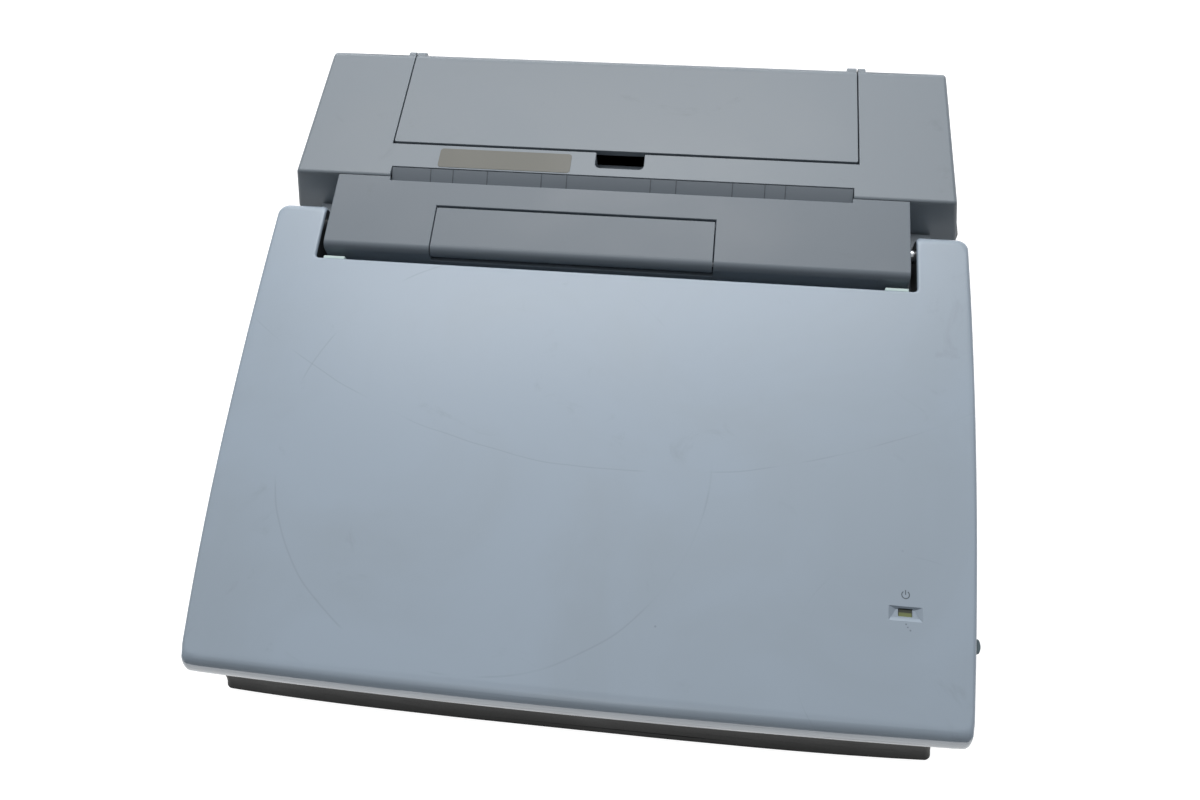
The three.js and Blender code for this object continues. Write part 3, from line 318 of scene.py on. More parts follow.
def math_node(tree, operation, first, second=0.0, clamp=False):
    return add_node(tree, "Math", {0: first, 1: second}, operation=operation, use_clamp=clamp).outputs[0]


def scaled(tree, value, factor, shift=None):
    """A value times a factor, and then moved by a shift where one is given."""
    product = math_node(tree, "MULTIPLY", value, factor)
    return product if shift is None else math_node(tree, "ADD", product, shift)


def noise_node(tree, vector, scale, detail=3.0, roughness=0.5, distortion=0.0):
    values = {"Vector": vector, "Scale": scale, "Detail": detail, "Roughness": roughness}
    return add_node(tree, "TexNoise", {**values, "Distortion": distortion}).outputs["Fac"]


def ramp_node(tree, value, low, high):
    """Rises smoothly from 0 at low to 1 at high, and falls where high is the smaller."""
    values = {"Value": value, "From Min": low, "From Max": high}
    return add_node(tree, "MapRange", values, interpolation_type="SMOOTHSTEP").outputs["Result"]


def distance_node(tree, place, centre):
    return add_node(tree, "VectorMath", {0: place, 1: centre}, operation="DISTANCE").outputs["Value"]


def axis_node(tree, vector, axis):
    return add_node(tree, "SeparateXYZ", {0: vector}).outputs[axis]


def mix_colour(tree, factor, first, second):
    values = {"Factor": factor, "A": first, "B": second}
    return add_node(tree, "Mix", values, data_type="RGBA").outputs["Result"]


def bump_node(tree, shader, height, strength, distance):
    raised = add_node(tree, "Bump", {"Height": height, "Strength": strength, "Distance": distance * MM})
    feed(tree, shader, {"Normal": raised.outputs["Normal"]})


def new_group(name, inputs, outputs):
    """A group with its inputs' default values, and outputs that are plain numbers."""
    tree = bpy.data.node_groups.new(name, "ShaderNodeTree")
    for label, value in inputs.items():
        kind = "NodeSocketVector" if isinstance(value, tuple) else "NodeSocketFloat"
        tree.interface.new_socket(label, in_out="INPUT", socket_type=kind).default_value = value
    for label in outputs:
        tree.interface.new_socket(label, in_out="OUTPUT", socket_type="NodeSocketFloat")
    return tree, tree.nodes.new("NodeGroupInput").outputs, tree.nodes.new("NodeGroupOutput")


def group_node(tree, group, values):
    return add_node(tree, "Group", values, node_tree=group).outputs


def moulded_grain_group():
    """Fine spark-eroded grain of a moulded part: a height for a Bump node and a roughness shift."""
    inputs = {"Vector": (0, 0, 0), "Scale": 1500.0}
    tree, start, end = new_group("moulded_grain", inputs, ["Height", "Shift"])
    fine = noise_node(tree, start["Vector"], start["Scale"], 2.0, 0.6)
    coarse = noise_node(tree, start["Vector"], scaled(tree, start["Scale"], 0.3), 2.0, 0.5)
    height = math_node(tree, "ADD", scaled(tree, fine, 0.7), scaled(tree, coarse, 0.3))
    feed(tree, end, {"Height": height, "Shift": math_node(tree, "SUBTRACT", fine, 0.5)})
    return tree


def handling_marks_group():
    """Uneven tone from years of handling: broad smears, small stains and specks, as masks."""
    inputs = {"Vector": (0, 0, 0), "Size": 1.0}
    tree, start, end = new_group("handling_marks", inputs, ["Smear", "Stain", "Speck"])
    where, size = start["Vector"], start["Size"]
    broad = noise_node(tree, where, scaled(tree, size, 9.0), 4.0, 0.55, 0.6)
    stain = noise_node(tree, where, scaled(tree, size, 26.0), 5.0, 0.65, 1.2)
    cells = add_node(tree, "TexVoronoi", {"Vector": where, "Scale": 42.0})
    near = math_node(tree, "LESS_THAN", cells.outputs["Distance"], 0.025)
    rare = ramp_node(tree, noise_node(tree, where, 17.0, 1.0), 0.56, 0.6)
    feed(tree, end, {"Smear": ramp_node(tree, broad, 0.38, 0.72), "Stain": ramp_node(tree, stain, 0.6, 0.78)})
    feed(tree, end, {"Speck": math_node(tree, "MULTIPLY", near, rare)})
    return tree


def fine_scratches_group():
    """Hair scratches: thin broken arcs about far centres, as a mask."""
    inputs = {"Vector": (0, 0, 0), "Centre": (0, 0, 0), "Radius": 0.1, "Width": 0.0004}
    tree, start, end = new_group("fine_scratches", inputs, ["Mask"])
    gap = distance_node(tree, start["Vector"], start["Centre"])
    wobble = scaled(tree, noise_node(tree, start["Vector"], 14.0, 2.0), 0.006)
    past = math_node(tree, "SUBTRACT", math_node(tree, "ADD", gap, wobble), start["Radius"])
    away = math_node(tree, "DIVIDE", math_node(tree, "ABSOLUTE", past), start["Width"])
    line = math_node(tree, "SUBTRACT", 1.0, away, clamp=True)
    broken = ramp_node(tree, noise_node(tree, start["Vector"], 22.0, 2.0), 0.42, 0.58)
    feed(tree, end, {"Mask": math_node(tree, "MULTIPLY", line, broken)})
    return tree


GRAIN = moulded_grain_group()
HANDLING = handling_marks_group()
SCRATCHES = fine_scratches_group()


# Materials
def linear(colour, factor=1.0):
    """The scene's linear colour for a factor of a colour that is given as it looks on a screen."""
    shares = [c * factor for c in colour]
    return tuple(c / 12.92 if c <= 0.04045 else ((c + 0.055) / 1.055) ** 2.4 for c in shares) + (1.0,)


def start_material(name):
    material = bpy.data.materials.new(name)
    material.use_nodes = True
    tree = material.node_tree
    coordinates = tree.nodes.new("ShaderNodeTexCoord")
    return material, tree, tree.nodes["Principled BSDF"], coordinates.outputs["Object"]


def plastic(
    name,
    colour,
    dirt,
    roughness=0.45,
    grain=1500.0,
    bump=0.25,
    smear=0.35,
    stain=0.25,
    specular=0.5,
    size=1.0,
):
    """Moulded plastic: base colour with smears, stains and specks, and a fine grain."""
    material, tree, shader, where = start_material(name)
    marks = group_node(tree, HANDLING, {"Vector": where, "Size": size})
    texture = group_node(tree, GRAIN, {"Vector": where, "Scale": grain})
    tone = mix_colour(tree, scaled(tree, marks["Smear"], smear), linear(colour), linear(dirt))
    tone = mix_colour(tree, scaled(tree, marks["Stain"], stain), tone, linear(dirt, 0.86))
    tone = mix_colour(tree, scaled(tree, marks["Speck"], 0.35), tone, linear(colour, 0.6))
    rough = scaled(tree, marks["Smear"], -0.08, roughness + 0.03)
    rough = math_node(tree, "ADD", rough, scaled(tree, texture["Shift"], 0.12))
    feed(tree, shader, {"Base Color": tone, "Roughness": rough, "Specular IOR Level": specular})
    bump_node(tree, shader, texture["Height"], bump, 0.05)
    return material, tree, shader, where, tone


def plain_plastic(*settings, **values):
    return plastic(*settings, **values)[0]


def lid_plastic():
    """The lid's smooth plastic, with hair scratches, specks by the lamp and a glossier front roll."""
    material, tree, shader, where, tone = plastic(
        "lid_plastic", (0.612, 0.665, 0.719), (0.565, 0.607, 0.645), 0.55, 2200.0, 0.12, smear=0.45, stain=0.3
    )
    scratches = [
        ((-0.05, -0.07, 0.06), 0.118, 0.0007),
        ((0.02, 0.28, 0.08), 0.36, 0.0005),
        ((0.16, -0.16, 0.06), 0.055, 0.0004),
    ]
    for centre, radius, width in scratches:
        values = {"Vector": where, "Centre": centre, "Radius": radius, "Width": width}
        mask = group_node(tree, SCRATCHES, values)["Mask"]
        tone = mix_colour(tree, scaled(tree, mask, 0.34), tone, linear((0.5, 0.54, 0.58)))
    specks = [
        ((0.1624, -0.144, 0.0622), 0.0006),
        ((0.1604, -0.1412, 0.062), 0.0004),
        ((0.1612, -0.1426, 0.0621), 0.0004),
    ]
    for centre, size in specks:
        mask = ramp_node(tree, distance_node(tree, where, centre), 1.3 * size, 0.5 * size)
        tone = mix_colour(tree, scaled(tree, mask, 0.6), tone, linear((0.2, 0.23, 0.25)))
    feed(tree, shader, {"Base Color": tone, "Metallic": 0.08})
    front_roll = ramp_node(tree, axis_node(tree, where, "Y"), -0.1865, -0.1915)
    for label, change, start in [("Weight", 0.4, 0.6), ("IOR", 0.8, 1.5), ("Roughness", -0.16, 0.26)]:
        feed(tree, shader, {"Coat " + label: scaled(tree, front_roll, change, start)})
    return material


def lamp_lens():
    """The lamp's lens: yellow-green in front, with painted shade on its rear part, where the recess's rear
    wall would shade it.
    """
    material, tree, shader, where, tone = plastic(
        "lamp_lens", (0.47, 0.5, 0.33), (0.4, 0.43, 0.28), roughness=0.2, grain=600.0, bump=0.1
    )
    # Painted shade: the lens is darkened towards its rear edge, standing in for the recess wall's shadow.
    rear = ramp_node(tree, axis_node(tree, where, "Y"), -0.1358, -0.1352)
    tone = mix_colour(tree, scaled(tree, rear, 0.9), tone, linear((0.2, 0.21, 0.2)))
    feed(tree, shader, {"Base Color": tone})
    return material


def metal(name, colour, roughness=0.3, lines=900.0):
    """Plated or ground metal: fine lines along X, and a slightly cloudy tone."""
    material, tree, shader, where = start_material(name)
    stretch = add_node(tree, "Mapping", {"Vector": where, "Scale": (0.04, 1.0, 1.0)})
    brushed = noise_node(tree, stretch.outputs["Vector"], lines, 3.0, 0.6)
    cloud = ramp_node(tree, noise_node(tree, where, 60.0), 0.4, 0.7)
    tone = mix_colour(tree, cloud, linear(colour), linear(colour, 0.86))
    rough = scaled(tree, brushed, 0.22, roughness - 0.1)
    feed(tree, shader, {"Base Color": tone, "Roughness": rough, "Metallic": 1.0})
    bump_node(tree, shader, brushed, 0.15, 0.02)
    return material


def circuit_board():
    """Green solder mask with copper tracks that show through a little."""
    material, tree, shader, where = start_material("circuit_board")
    tracks = add_node(tree, "TexBrick", {"Vector": where, "Scale": 90.0, "Mortar Size": 0.06})
    colours = {"Color1": (0.13, 0.36, 0.2), "Color2": (0.15, 0.4, 0.22), "Mortar": (0.3, 0.5, 0.26)}
    feed(tree, tracks, {label: linear(colour) for label, colour in colours.items()})
    cloud = scaled(tree, noise_node(tree, where, 35.0, 2.0), 0.4)
    tone = mix_colour(tree, cloud, tracks.outputs["Color"], linear((0.1, 0.26, 0.16)))
    feed(tree, shader, {"Base Color": tone, "Roughness": 0.35})
    return material


def display_glass():
    """The display: a grey-green field of fine dots inside a dark border."""
    material, tree, shader, where = start_material("display_glass")
    axes = axis_node(tree, where, "X"), axis_node(tree, where, "Y")
    pitch, gap = 0.66, 0.16
    edges = [math_node(tree, "FRACT", scaled(tree, axis, 1000 / pitch)) for axis in axes]
    edges = [math_node(tree, "LESS_THAN", edge, gap) for edge in edges]
    line = scaled(tree, math_node(tree, "MAXIMUM", *edges), 0.5)
    field = mix_colour(tree, line, linear((0.46, 0.52, 0.45)), linear((0.4, 0.46, 0.4)))
    cloud = scaled(tree, noise_node(tree, where, 8.0, 2.0), 0.25)
    field = mix_colour(tree, cloud, field, linear((0.4, 0.45, 0.42)))
    middle = sloped(0, (SCREEN[2] + SCREEN[3]) / 2, -LID_HALF)[1] * MM
    inside = []
    for axis, centre, reach in zip(axes, (0.0, middle), (0.1, 0.073)):
        away = math_node(tree, "ABSOLUTE", math_node(tree, "SUBTRACT", axis, centre))
        inside.append(math_node(tree, "LESS_THAN", away, reach))
    tone = mix_colour(tree, math_node(tree, "MULTIPLY", *inside), linear((0.12, 0.13, 0.13)), field)
    feed(tree, shader, {"Base Color": tone, "Roughness": 0.16, "Coat Weight": 0.4, "Coat Roughness": 0.08})
    return material


FINISH = {
    "lid": lid_plastic(),
    "housing": plain_plastic("housing_plastic", (0.487, 0.52, 0.55), (0.46, 0.49, 0.515), 0.42),
    "bar": plain_plastic("bar_plastic", (0.425, 0.46, 0.493), (0.405, 0.435, 0.467)),
    "chute": plain_plastic("chute_plastic", (0.43, 0.46, 0.49), (0.41, 0.44, 0.47), 0.5, bump=0.2),
    # A darker copy of the chute's plastic: painted shade for the shaded side of the chute's raised size
    # marks.
    "groove": plain_plastic("groove_plastic", (0.3, 0.325, 0.35), (0.28, 0.3, 0.33), 0.5),
    "case": plain_plastic(
        "case_plastic", (0.028, 0.032, 0.025), (0.04, 0.042, 0.034), 0.55, 1100.0, 0.3, specular=0.25
    ),
    "bezel": plain_plastic("bezel_plastic", (0.545, 0.575, 0.605), (0.52, 0.55, 0.575), 0.5),
    "key": plain_plastic("key_plastic", (0.79, 0.785, 0.755), (0.74, 0.72, 0.66), 0.5, 1800.0, size=3.0),
    "grey_key": plain_plastic(
        "grey_key_plastic", (0.5, 0.515, 0.525), (0.47, 0.48, 0.485), 0.5, 1800.0, size=3.0
    ),
    "cartridge": plain_plastic("cartridge_plastic", (0.74, 0.745, 0.73), (0.68, 0.67, 0.63), 0.4),
    "dark": plain_plastic("dark_plastic", (0.17, 0.175, 0.185), (0.21, 0.21, 0.215), grain=1200.0),
    "knob": plain_plastic("knob_plastic", (0.37, 0.43, 0.455), (0.33, 0.38, 0.4), grain=1300.0),
    "film": plain_plastic("label_film", (0.368, 0.366, 0.333), (0.345, 0.34, 0.313), 0.42, 3000.0, 0.05),
    "lamp": lamp_lens(),
    "gear": plain_plastic("gear_plastic", (0.88, 0.87, 0.83), (0.8, 0.79, 0.74), 0.4, 900.0, 0.1),
    "rubber": plain_plastic("black_rubber", (0.12, 0.12, 0.12), (0.17, 0.17, 0.165), 0.75, 700.0, 0.5),
    "pad": plain_plastic("pad_rubber", (0.78, 0.85, 0.84), (0.7, 0.77, 0.76), 0.6, 900.0, 0.2),
    "mark": plain_plastic("printed_mark", (0.33, 0.37, 0.4), (0.36, 0.4, 0.43), grain=2500.0, bump=0.05),
    "steel": metal("plated_steel", (0.72, 0.73, 0.74)),
    "shaft": metal("ground_steel", (0.8, 0.81, 0.82), roughness=0.2, lines=1400.0),
    "board": circuit_board(),
    "display": display_glass(),
}


# Lid
def lid_side(y, trim=0.0, taper=0.0):
    """Half width of the lid at a place along it; trim and taper narrow it where the photo does."""
    near_front = max(0.0, -140.0 - y) / 110
    return 198.7 - trim - (y + 63.4) ** 2 / (6800 - 350 * trim) - taper * near_front**2


def lid_bow(x):
    return x * x / 13400


def lid_level(front_in, side_in, ear_in, notch_in, corner=3.3):
    """The lid's plan at one height, with each of its edges moved inwards by its own depth."""
    front = -LID_LENGTH + front_in
    ear, inner, bend = 6.0, 2.8, 1.8 + notch_in
    rear = LID_HALF - ear_in
    edge, reach = NOTCH_HALF + notch_in, NOTCH_REACH + notch_in

    def half_plan(trim, taper):
        corner_x = lid_side(front, trim, taper) - side_in
        corner_y = front + lid_bow(corner_x) + corner
        straight = corner_x - corner
        line = [(straight * i / 40, front + lid_bow(straight * i / 40)) for i in range(1, 40)]
        line += arc(straight, corner_y, corner, -QUARTER, 0, 12)
        side = [corner_y + (rear - ear - corner_y) * i / 60 for i in range(1, 60)]
        line += [(lid_side(y, trim, taper) - side_in, y) for y in side]
        line += arc(lid_side(rear - ear, trim) - side_in - ear, rear - ear, ear, 0, QUARTER, 12)
        line += arc(edge + inner, rear - inner, inner, QUARTER, math.pi, 6)
        line += [(edge, rear - inner - (rear - inner + reach - bend) * i / 12) for i in range(1, 12)]
        line += arc(edge - bend, bend - reach, bend, 0, -QUARTER, 5)
        return line + [((edge - bend) * (1 - i / 40), -reach) for i in range(1, 40)]

    left = [(-x, y) for x, y in reversed(half_plan(0.9, 1.75))]
    return [(0, front)] + half_plan(1.9, 0.0) + [(0, -reach)] + left


def rim_depth(radius, step):
    return radius - math.sqrt(max(0.0, radius**2 - min(radius, max(0.0, step)) ** 2))


def lid_ring(z, side_radius=0.3, extra=0.0):
    """The lid's plan at height z of its thickness: a full round in front, smaller rims elsewhere."""
    radii = (LID_HALF, 2.4, 5.5, 1.4) if z > 0 else (LID_HALF, side_radius, 5.5, 0.3)
    depths = [rim_depth(radius, abs(z) - LID_HALF + radius) + extra for radius in radii]
    return [(x, y, z) for x, y in lid_level(*depths)]


def lamp_recess():
    """The lamp's recess: sloping walls, wider in front, down to its flat floor."""

    def ring(half_front, half_rear, front, rear, z):
        corners = [(-half_front, -front), (half_front, -front), (half_rear, rear), (-half_rear, rear)]
        return [(LAMP_X + x, LAMP_Y + y, z) for x, y in corners]

    mouth = (8.1, 8.0, 3.9, 3.1)
    upper = [ring(*mouth, LID_HALF + rise) for rise in (0.02, 3.0)]
    return loft([ring(6.6, 4.4, 2.1, 1.7, LID_HALF - 1.2)] + upper)


def lid_shell():
    inner = lid_level(WALL + 3.0, WALL + 0.4, WALL + 1.6, WALL, 1.5)
    base = -6.5
    turn = [QUARTER * i / 18 for i in range(1, 18)]
    rings = [[(x, y, z) for x, y in inner] for z in (LID_HALF - WALL, 0, base)]
    rings += [lid_ring(z) for z in [base, -5.2, -3.9, -2.6, -1.3, 0.0]]
    rings += [lid_ring(LID_HALF * math.sin(a)) for a in turn]
    rings.append([(x, y, LID_HALF) for x, y in lid_level(LID_HALF + 0.3, 2.7, 5.8, 1.6)])
    obj = make_piece("lid_shell", loft(rings), sloped)
    side = lid_side(KNOB_Y)
    cutters = [
        lamp_recess(),
        box_mesh(LAMP_X - 3.3, LAMP_X + 3.3, LAMP_Y - 1.6, LAMP_Y + 2.2, 0, LID_HALF + 3),
        box_mesh(side - 8, side + 6, KNOB_Y - 8.8, KNOB_Y + 8.8, -2.0, 2.0),
        rod_x(HINGE_HOLE, -172, 172, 0, 0),
    ]
    combine(obj, cutters, "DIFFERENCE", sloped)
    tidy(obj, 0.3)
    soften(obj, 0.2, 2, 60)
    obj.data.set_sharp_from_angle(angle=math.radians(25))
    obj.modifiers["shading"].keep_sharp = True
    dress(obj, "lid", "lid", "lid_plastic", "lid_outer_shell")
    # Painted shade: the notch's side walls below the rim take the dark plastic, standing for the deep shade
    # in the gap beside the bar.
    obj.data.materials.append(FINISH["dark"])
    for face in obj.data.polygons:
        x, y, z = face.center / MM
        beside = abs(abs(x) - NOTCH_HALF) < 0.2 and abs(face.normal.x) > 0.9
        low = -math.sin(TILT) * (y - HINGE_Y) + math.cos(TILT) * (z - HINGE_Z) < LID_HALF - 1.6
        face.material_index = 1 if beside and low else 0


def lid_bezel():
    top = -LID_HALF + 2.2
    levels = [-LID_HALF + 0.02, -LID_HALF + 0.1, -LID_HALF + 0.3, -LID_HALF + 0.7, -LID_HALF + 1.3, top]
    obj = make_piece("lid_bezel", loft([lid_ring(z, 1.0, 0.02) for z in levels]), sloped)
    x0, x1, y0, y1 = SCREEN
    window = []
    for grow, z in ((1.6, -LID_HALF - 1), (1.6, -LID_HALF), (0.1, top - 0.7), (0.1, top + 1)):
        outline = rounded_rectangle(x0 - grow, x1 + grow, y0 - grow, y1 + grow, 3, 3, 4)
        window.append([(x, y, z) for x, y in outline])
    combine(obj, [loft(window)], "DIFFERENCE", sloped)
    soften(tidy(obj), 0.25, 2, 38)
    dress(obj, "bezel", "lid", "housing_plastic", "lid_inner_bezel")


def power_mark():
    """A generic power symbol, a broken ring with a bar, printed by the lamp."""
    centre_x, centre_y, height = LAMP_X, LAMP_Y + 8.65, LID_HALF + 0.03
    start, end = math.radians(125), math.radians(415)
    ring = [arc(centre_x, centre_y, radius, start, end, 40) for radius in (1.55, 2.05)]
    bar = [[(centre_x + x, centre_y), (centre_x + x, centre_y + 2.3)] for x in (-0.25, 0.25)]
    points, faces = [], []
    for inner, outer in (ring, bar):
        for k in range(len(points), len(points) + 2 * len(inner) - 2, 2):
            faces.append((k, k + 1, k + 3, k + 2))
        points += [(x, y, height) for pair in zip(inner, outer) for x, y in pair]
    dress(make_piece("power_mark", (points, faces), sloped), "mark", "lid", "lid_plastic")


# Printer housing and cover
def housing_solid(wall, side_round=2.0):
    """The housing's outer form, or its inside where a wall is given, as rings along X."""
    height = TOP - SPLIT
    spread = (BLOCK_HALF - HOUSING_HALF) / height
    low = SPLIT - 8.0
    corners = [
        (HOUSING_FRONT - FRONT_LEAN * (TOP - low) / height, low),
        (HOUSING_REAR + HOUSING_LEAN * (TOP - low) / height, low),
        (HOUSING_REAR, TOP),
        (HOUSING_FRONT, TOP),
    ]

    def ring(side, depth, back):
        radii = [0, 0, max(0.3, 8.0 - depth), max(0.3, 2.4 - depth)]
        outline = rounded_polygon(inset(corners, depth), radii, 14)
        made = []
        for y, z in outline:
            rearward = min(1.0, max(0.0, (y - HOUSING_FRONT) / HOUSING_DEPTH))
            trim = 1.0 + 1.4 * rearward if side > 0 else 0.3 + 0.6 * rearward
            made.append((side * (HOUSING_HALF + (TOP - z) * spread - back - trim), y, z))
        return made

    if wall:
        return loft([ring(side, wall, wall) for side in (-1, 1)])
    steps = [QUARTER * i / 8 for i in range(9)]
    ends = [(side_round * (1 - math.sin(a)), side_round * (1 - math.cos(a))) for a in steps]
    return loft([ring(-1, *end) for end in ends] + [ring(1, *end) for end in reversed(ends)])


def printer_housing():
    obj = make_piece("printer_housing_shell", housing_solid(0.0))
    below = box_mesh(-BEYOND, BEYOND, -BEYOND, BEYOND, 0, SPLIT + 0.3)
    combine(obj, [housing_solid(WALL), below], "DIFFERENCE")
    adds = [
        rod_x(KNUCKLE_RADIUS, COVER_HALF + 0.3, COVER_HALF + 4.6, *COVER_AXIS),
        rod_x(KNUCKLE_RADIUS, -COVER_HALF - 4.6, -COVER_HALF - 0.3, *COVER_AXIS),
        box_mesh(-16.7, 16.7, COVER_SEAM - 14.0, COVER_SEAM + 0.3, TOP - 13.5, TOP - 1.25),
    ]
    combine(obj, adds, "UNION")
    front, inside = HOUSING_FOOT_FRONT - 6, BAR_HALF - WALL
    notch = rounded_rectangle(-14.2, 14.2, COVER_SEAM - 11.5, COVER_SEAM + 5, 3.2, 0.4, 6)
    cuts = [
        prism_z(notch, TOP - 11.0, TOP + 6),
        box_mesh(-COVER_HALF, COVER_HALF, COVER_SEAM, REAR + 6, TOP - 10.5, TOP + 6),
        rod_x(COVER_PIN_HOLE, -COVER_HALF - 6, COVER_HALF + 6, *COVER_AXIS, 24),
        box_mesh(-133.8, 133.8, front, HOUSING_FRONT + 7, SPLIT - 1, TOP + 6),
        box_mesh(-inside, inside, front, HOUSING_FRONT + WALL, SPLIT - 1, TOP - WALL),
        box_mesh(-BAR_HALF - 0.3, BAR_HALF + 0.3, front, HOUSING_FRONT, SPLIT - 1, TOP + 6),
    ]
    combine(obj, cuts, "DIFFERENCE")
    soften(tidy(obj), 0.35, 2, 34)
    dress(obj, "housing", "base", "housing_plastic", "printer_housing")


def printer_cover():
    half, front = COVER_HALF - 0.65, COVER_SEAM + 1.5
    obj = make_piece("printer_cover_plate", housing_solid(0.0))
    combine(obj, [housing_solid(WALL)], "DIFFERENCE")
    plan = rounded_rectangle(-half, half, front, REAR + 5, 1.2, 0.5, 4)
    combine(obj, [prism_z(plan, TOP - 8.5, TOP + 6)], "INTERSECT")
    adds = [
        box_mesh(-half, half, front, front + WALL, TOP - 4.0, TOP - 1.25),
        rod_x(KNUCKLE_RADIUS, half - 5.5, half, *COVER_AXIS),
        rod_x(KNUCKLE_RADIUS, -half, -half + 5.5, *COVER_AXIS),
    ]
    combine(obj, adds, "UNION")
    combine(obj, [rod_x(COVER_PIN_HOLE, -COVER_HALF, COVER_HALF, *COVER_AXIS, 24)], "DIFFERENCE")
    soften(tidy(obj), 0.35, 2, 34)
    dress(obj, "housing", "cover", "housing_plastic", "printer_cover")


# Hinge bar, flap and chute
def bar_profile(depth, past):
    """The bar's section, listed counter-clockwise seen from +X."""
    base, rear, radius = SPLIT - 6, BAR_REAR + past, BAR_ROLL - depth
    top = bar_top(rear) - depth / math.cos(BAR_TILT)
    roll = arc(ROLL_Y, ROLL_Z, radius, QUARTER + BAR_TILT, math.pi, 14)
    return [(rear, base), (rear, top)] + roll + [(ROLL_Y - radius, base)]


def hinge_bar():
    obj = make_piece("hinge_bar_shell", prism_x(bar_profile(0, 0), -BAR_HALF, BAR_HALF))
    combine(obj, [prism_x(bar_profile(WALL, 6), -BAR_HALF + WALL, BAR_HALF - WALL)], "DIFFERENCE")
    left, right, bearing = FLAP_LEFT - SEAM, FLAP_RIGHT + SEAM, 2.5
    seam_rear = FLAP_REAR + 1.3
    ledge_top = bar_top(FLAP_REAR) - 2.8
    webs = [
        box_mesh(x, x + bearing, BAR_FRONT + 1.25, ROLL_Y + BAR_ROLL, ROLL_Z - BAR_ROLL, ROLL_Z + 2.25)
        for x in (left - bearing, right)
    ]
    combine(obj, webs, "UNION")
    hole = box_mesh(left, right, BAR_FRONT - 6, seam_rear, ROLL_Z - BAR_ROLL - SEAM, TOP + 6)
    combine(obj, [hole], "DIFFERENCE")
    ledges = [
        box_mesh(left - 1.25, right + 1.25, front, seam_rear + 1.25, ledge_top - 1.25, top)
        for front, top in ((FLAP_REAR - 2.5, ledge_top), (seam_rear, bar_top(FLAP_REAR) - 1.25))
    ]
    combine(obj, ledges, "UNION")
    cuts = [
        box_mesh(-133, 133, CHUTE_LIP_Y, REAR, SPLIT - 1, TOP + 6),
        rod_x(HINGE_HOLE, -BLOCK_HALF, BLOCK_HALF, HINGE_Y, HINGE_Z),
        rod_x(FLAP_PIN_HOLE, left - bearing, right + bearing, ROLL_Y, ROLL_Z, 24),
    ]
    combine(obj, cuts, "DIFFERENCE")
    under_lid = box_mesh(-BEYOND, BEYOND, -BEYOND, BEYOND, -BEYOND, -LID_HALF - 0.5)
    combine(obj, [under_lid], "DIFFERENCE", sloped)
    soften(tidy(obj), 0.5, 3, 30)
    dress(obj, "bar", "base", "bar_plastic", "hinge_bar")


def paper_flap():
    left, right = FLAP_LEFT, FLAP_RIGHT
    obj = make_piece("paper_flap_plate", prism_x(bar_profile(0, 0), left, right))
    combine(obj, [prism_x(bar_profile(2.2, 6), left - 6, right + 6)], "DIFFERENCE")
    combine(obj, [box_mesh(left, right, ROLL_Y, FLAP_REAR, ROLL_Z, TOP + 6)], "INTERSECT")
    combine(obj, [rod_x(BAR_ROLL, left, right, ROLL_Y, ROLL_Z, 64)], "UNION")
    combine(obj, [rod_x(FLAP_PIN_HOLE, left - 6, right + 6, ROLL_Y, ROLL_Z, 24)], "DIFFERENCE")
    soften(tidy(obj), 0.3, 2, 34)
    dress(obj, "bar", "flap", "bar_plastic", "paper_flap")


def chute_line():
    """Points of the chute's upper face from the slot's rear edge down to the roller."""
    start = Vector((HOUSING_FRONT + 6.7, TOP - 0.3))
    middle = Vector((CHUTE_LIP_Y, bar_top(CHUTE_LIP_Y) - WALL - 1.75))
    end = Vector((HOUSING_FRONT - 16.6, 73.0))
    shares = [i / 5 for i in range(6)]
    return [start * (1 - t) ** 2 + middle * 2 * t * (1 - t) + end * t * t for t in shares]


def face_outwards(obj):
    work = bmesh.new()
    work.from_mesh(obj.data)
    bmesh.ops.recalc_face_normals(work, faces=work.faces)
    work.to_mesh(obj.data)
    work.free()


def instance_on_points(obj, shape, finish):
    """Puts a copy of shape on each vertex of obj with a node tree, and keeps the plain mesh."""
    tree = bpy.data.node_groups.new("copies_on_places", "GeometryNodeTree")
    tree.interface.new_socket("Geometry", in_out="INPUT", socket_type="NodeSocketGeometry")
    shape_in = tree.interface.new_socket("Shape", in_out="INPUT", socket_type="NodeSocketObject")
    tree.interface.new_socket("Geometry", in_out="OUTPUT", socket_type="NodeSocketGeometry")
    start, end = tree.nodes.new("NodeGroupInput"), tree.nodes.new("NodeGroupOutput")
    kinds = ("MeshToPoints", "ObjectInfo", "InstanceOnPoints", "RealizeInstances", "SetMaterial")
    points, info, copies, real, paint = [tree.nodes.new("GeometryNode" + kind) for kind in kinds]
    paint.inputs["Material"].default_value = finish
    link = tree.links.new
    link(start.outputs["Geometry"], points.inputs["Mesh"])
    link(start.outputs["Shape"], info.inputs["Object"])
    link(points.outputs["Points"], copies.inputs["Points"])
    link(info.outputs["Geometry"], copies.inputs["Instance"])
    link(copies.outputs["Instances"], real.inputs["Geometry"])
    link(real.outputs["Geometry"], paint.inputs["Geometry"])
    link(paint.outputs["Geometry"], end.inputs["Geometry"])
    modifier = obj.modifiers.new("copies", "NODES")
    modifier.node_group = tree
    modifier[shape_in.identifier] = shape
    apply_modifiers(obj)
    remove(shape)


def size_marks(name, shift, finish):
    """Paper-width marks on the chute: fine raised lines, placed by a Geometry Nodes tree."""
    line = chute_line()
    places = (-110.2, -96.8, -76.4, -44.4, -29.6, 19.1, 33.8, 65.9, 84.2, 95.8)
    obj = make_piece(name, ([(x + shift, 0, 0) for x in places], []))
    rail = [line[0] + Vector((-0.2, -0.1)), line[1], line[2]]
    outline = [(p.x, p.y - 0.2) for p in reversed(rail)] + [(p.x, p.y + 0.07) for p in rail]
    shape = make_piece("mark_shape", prism_x(outline, -0.28, 0.28))
    face_outwards(shape)
    instance_on_points(obj, shape, FINISH[finish])
    dress(obj, finish, "base", "bar_plastic")


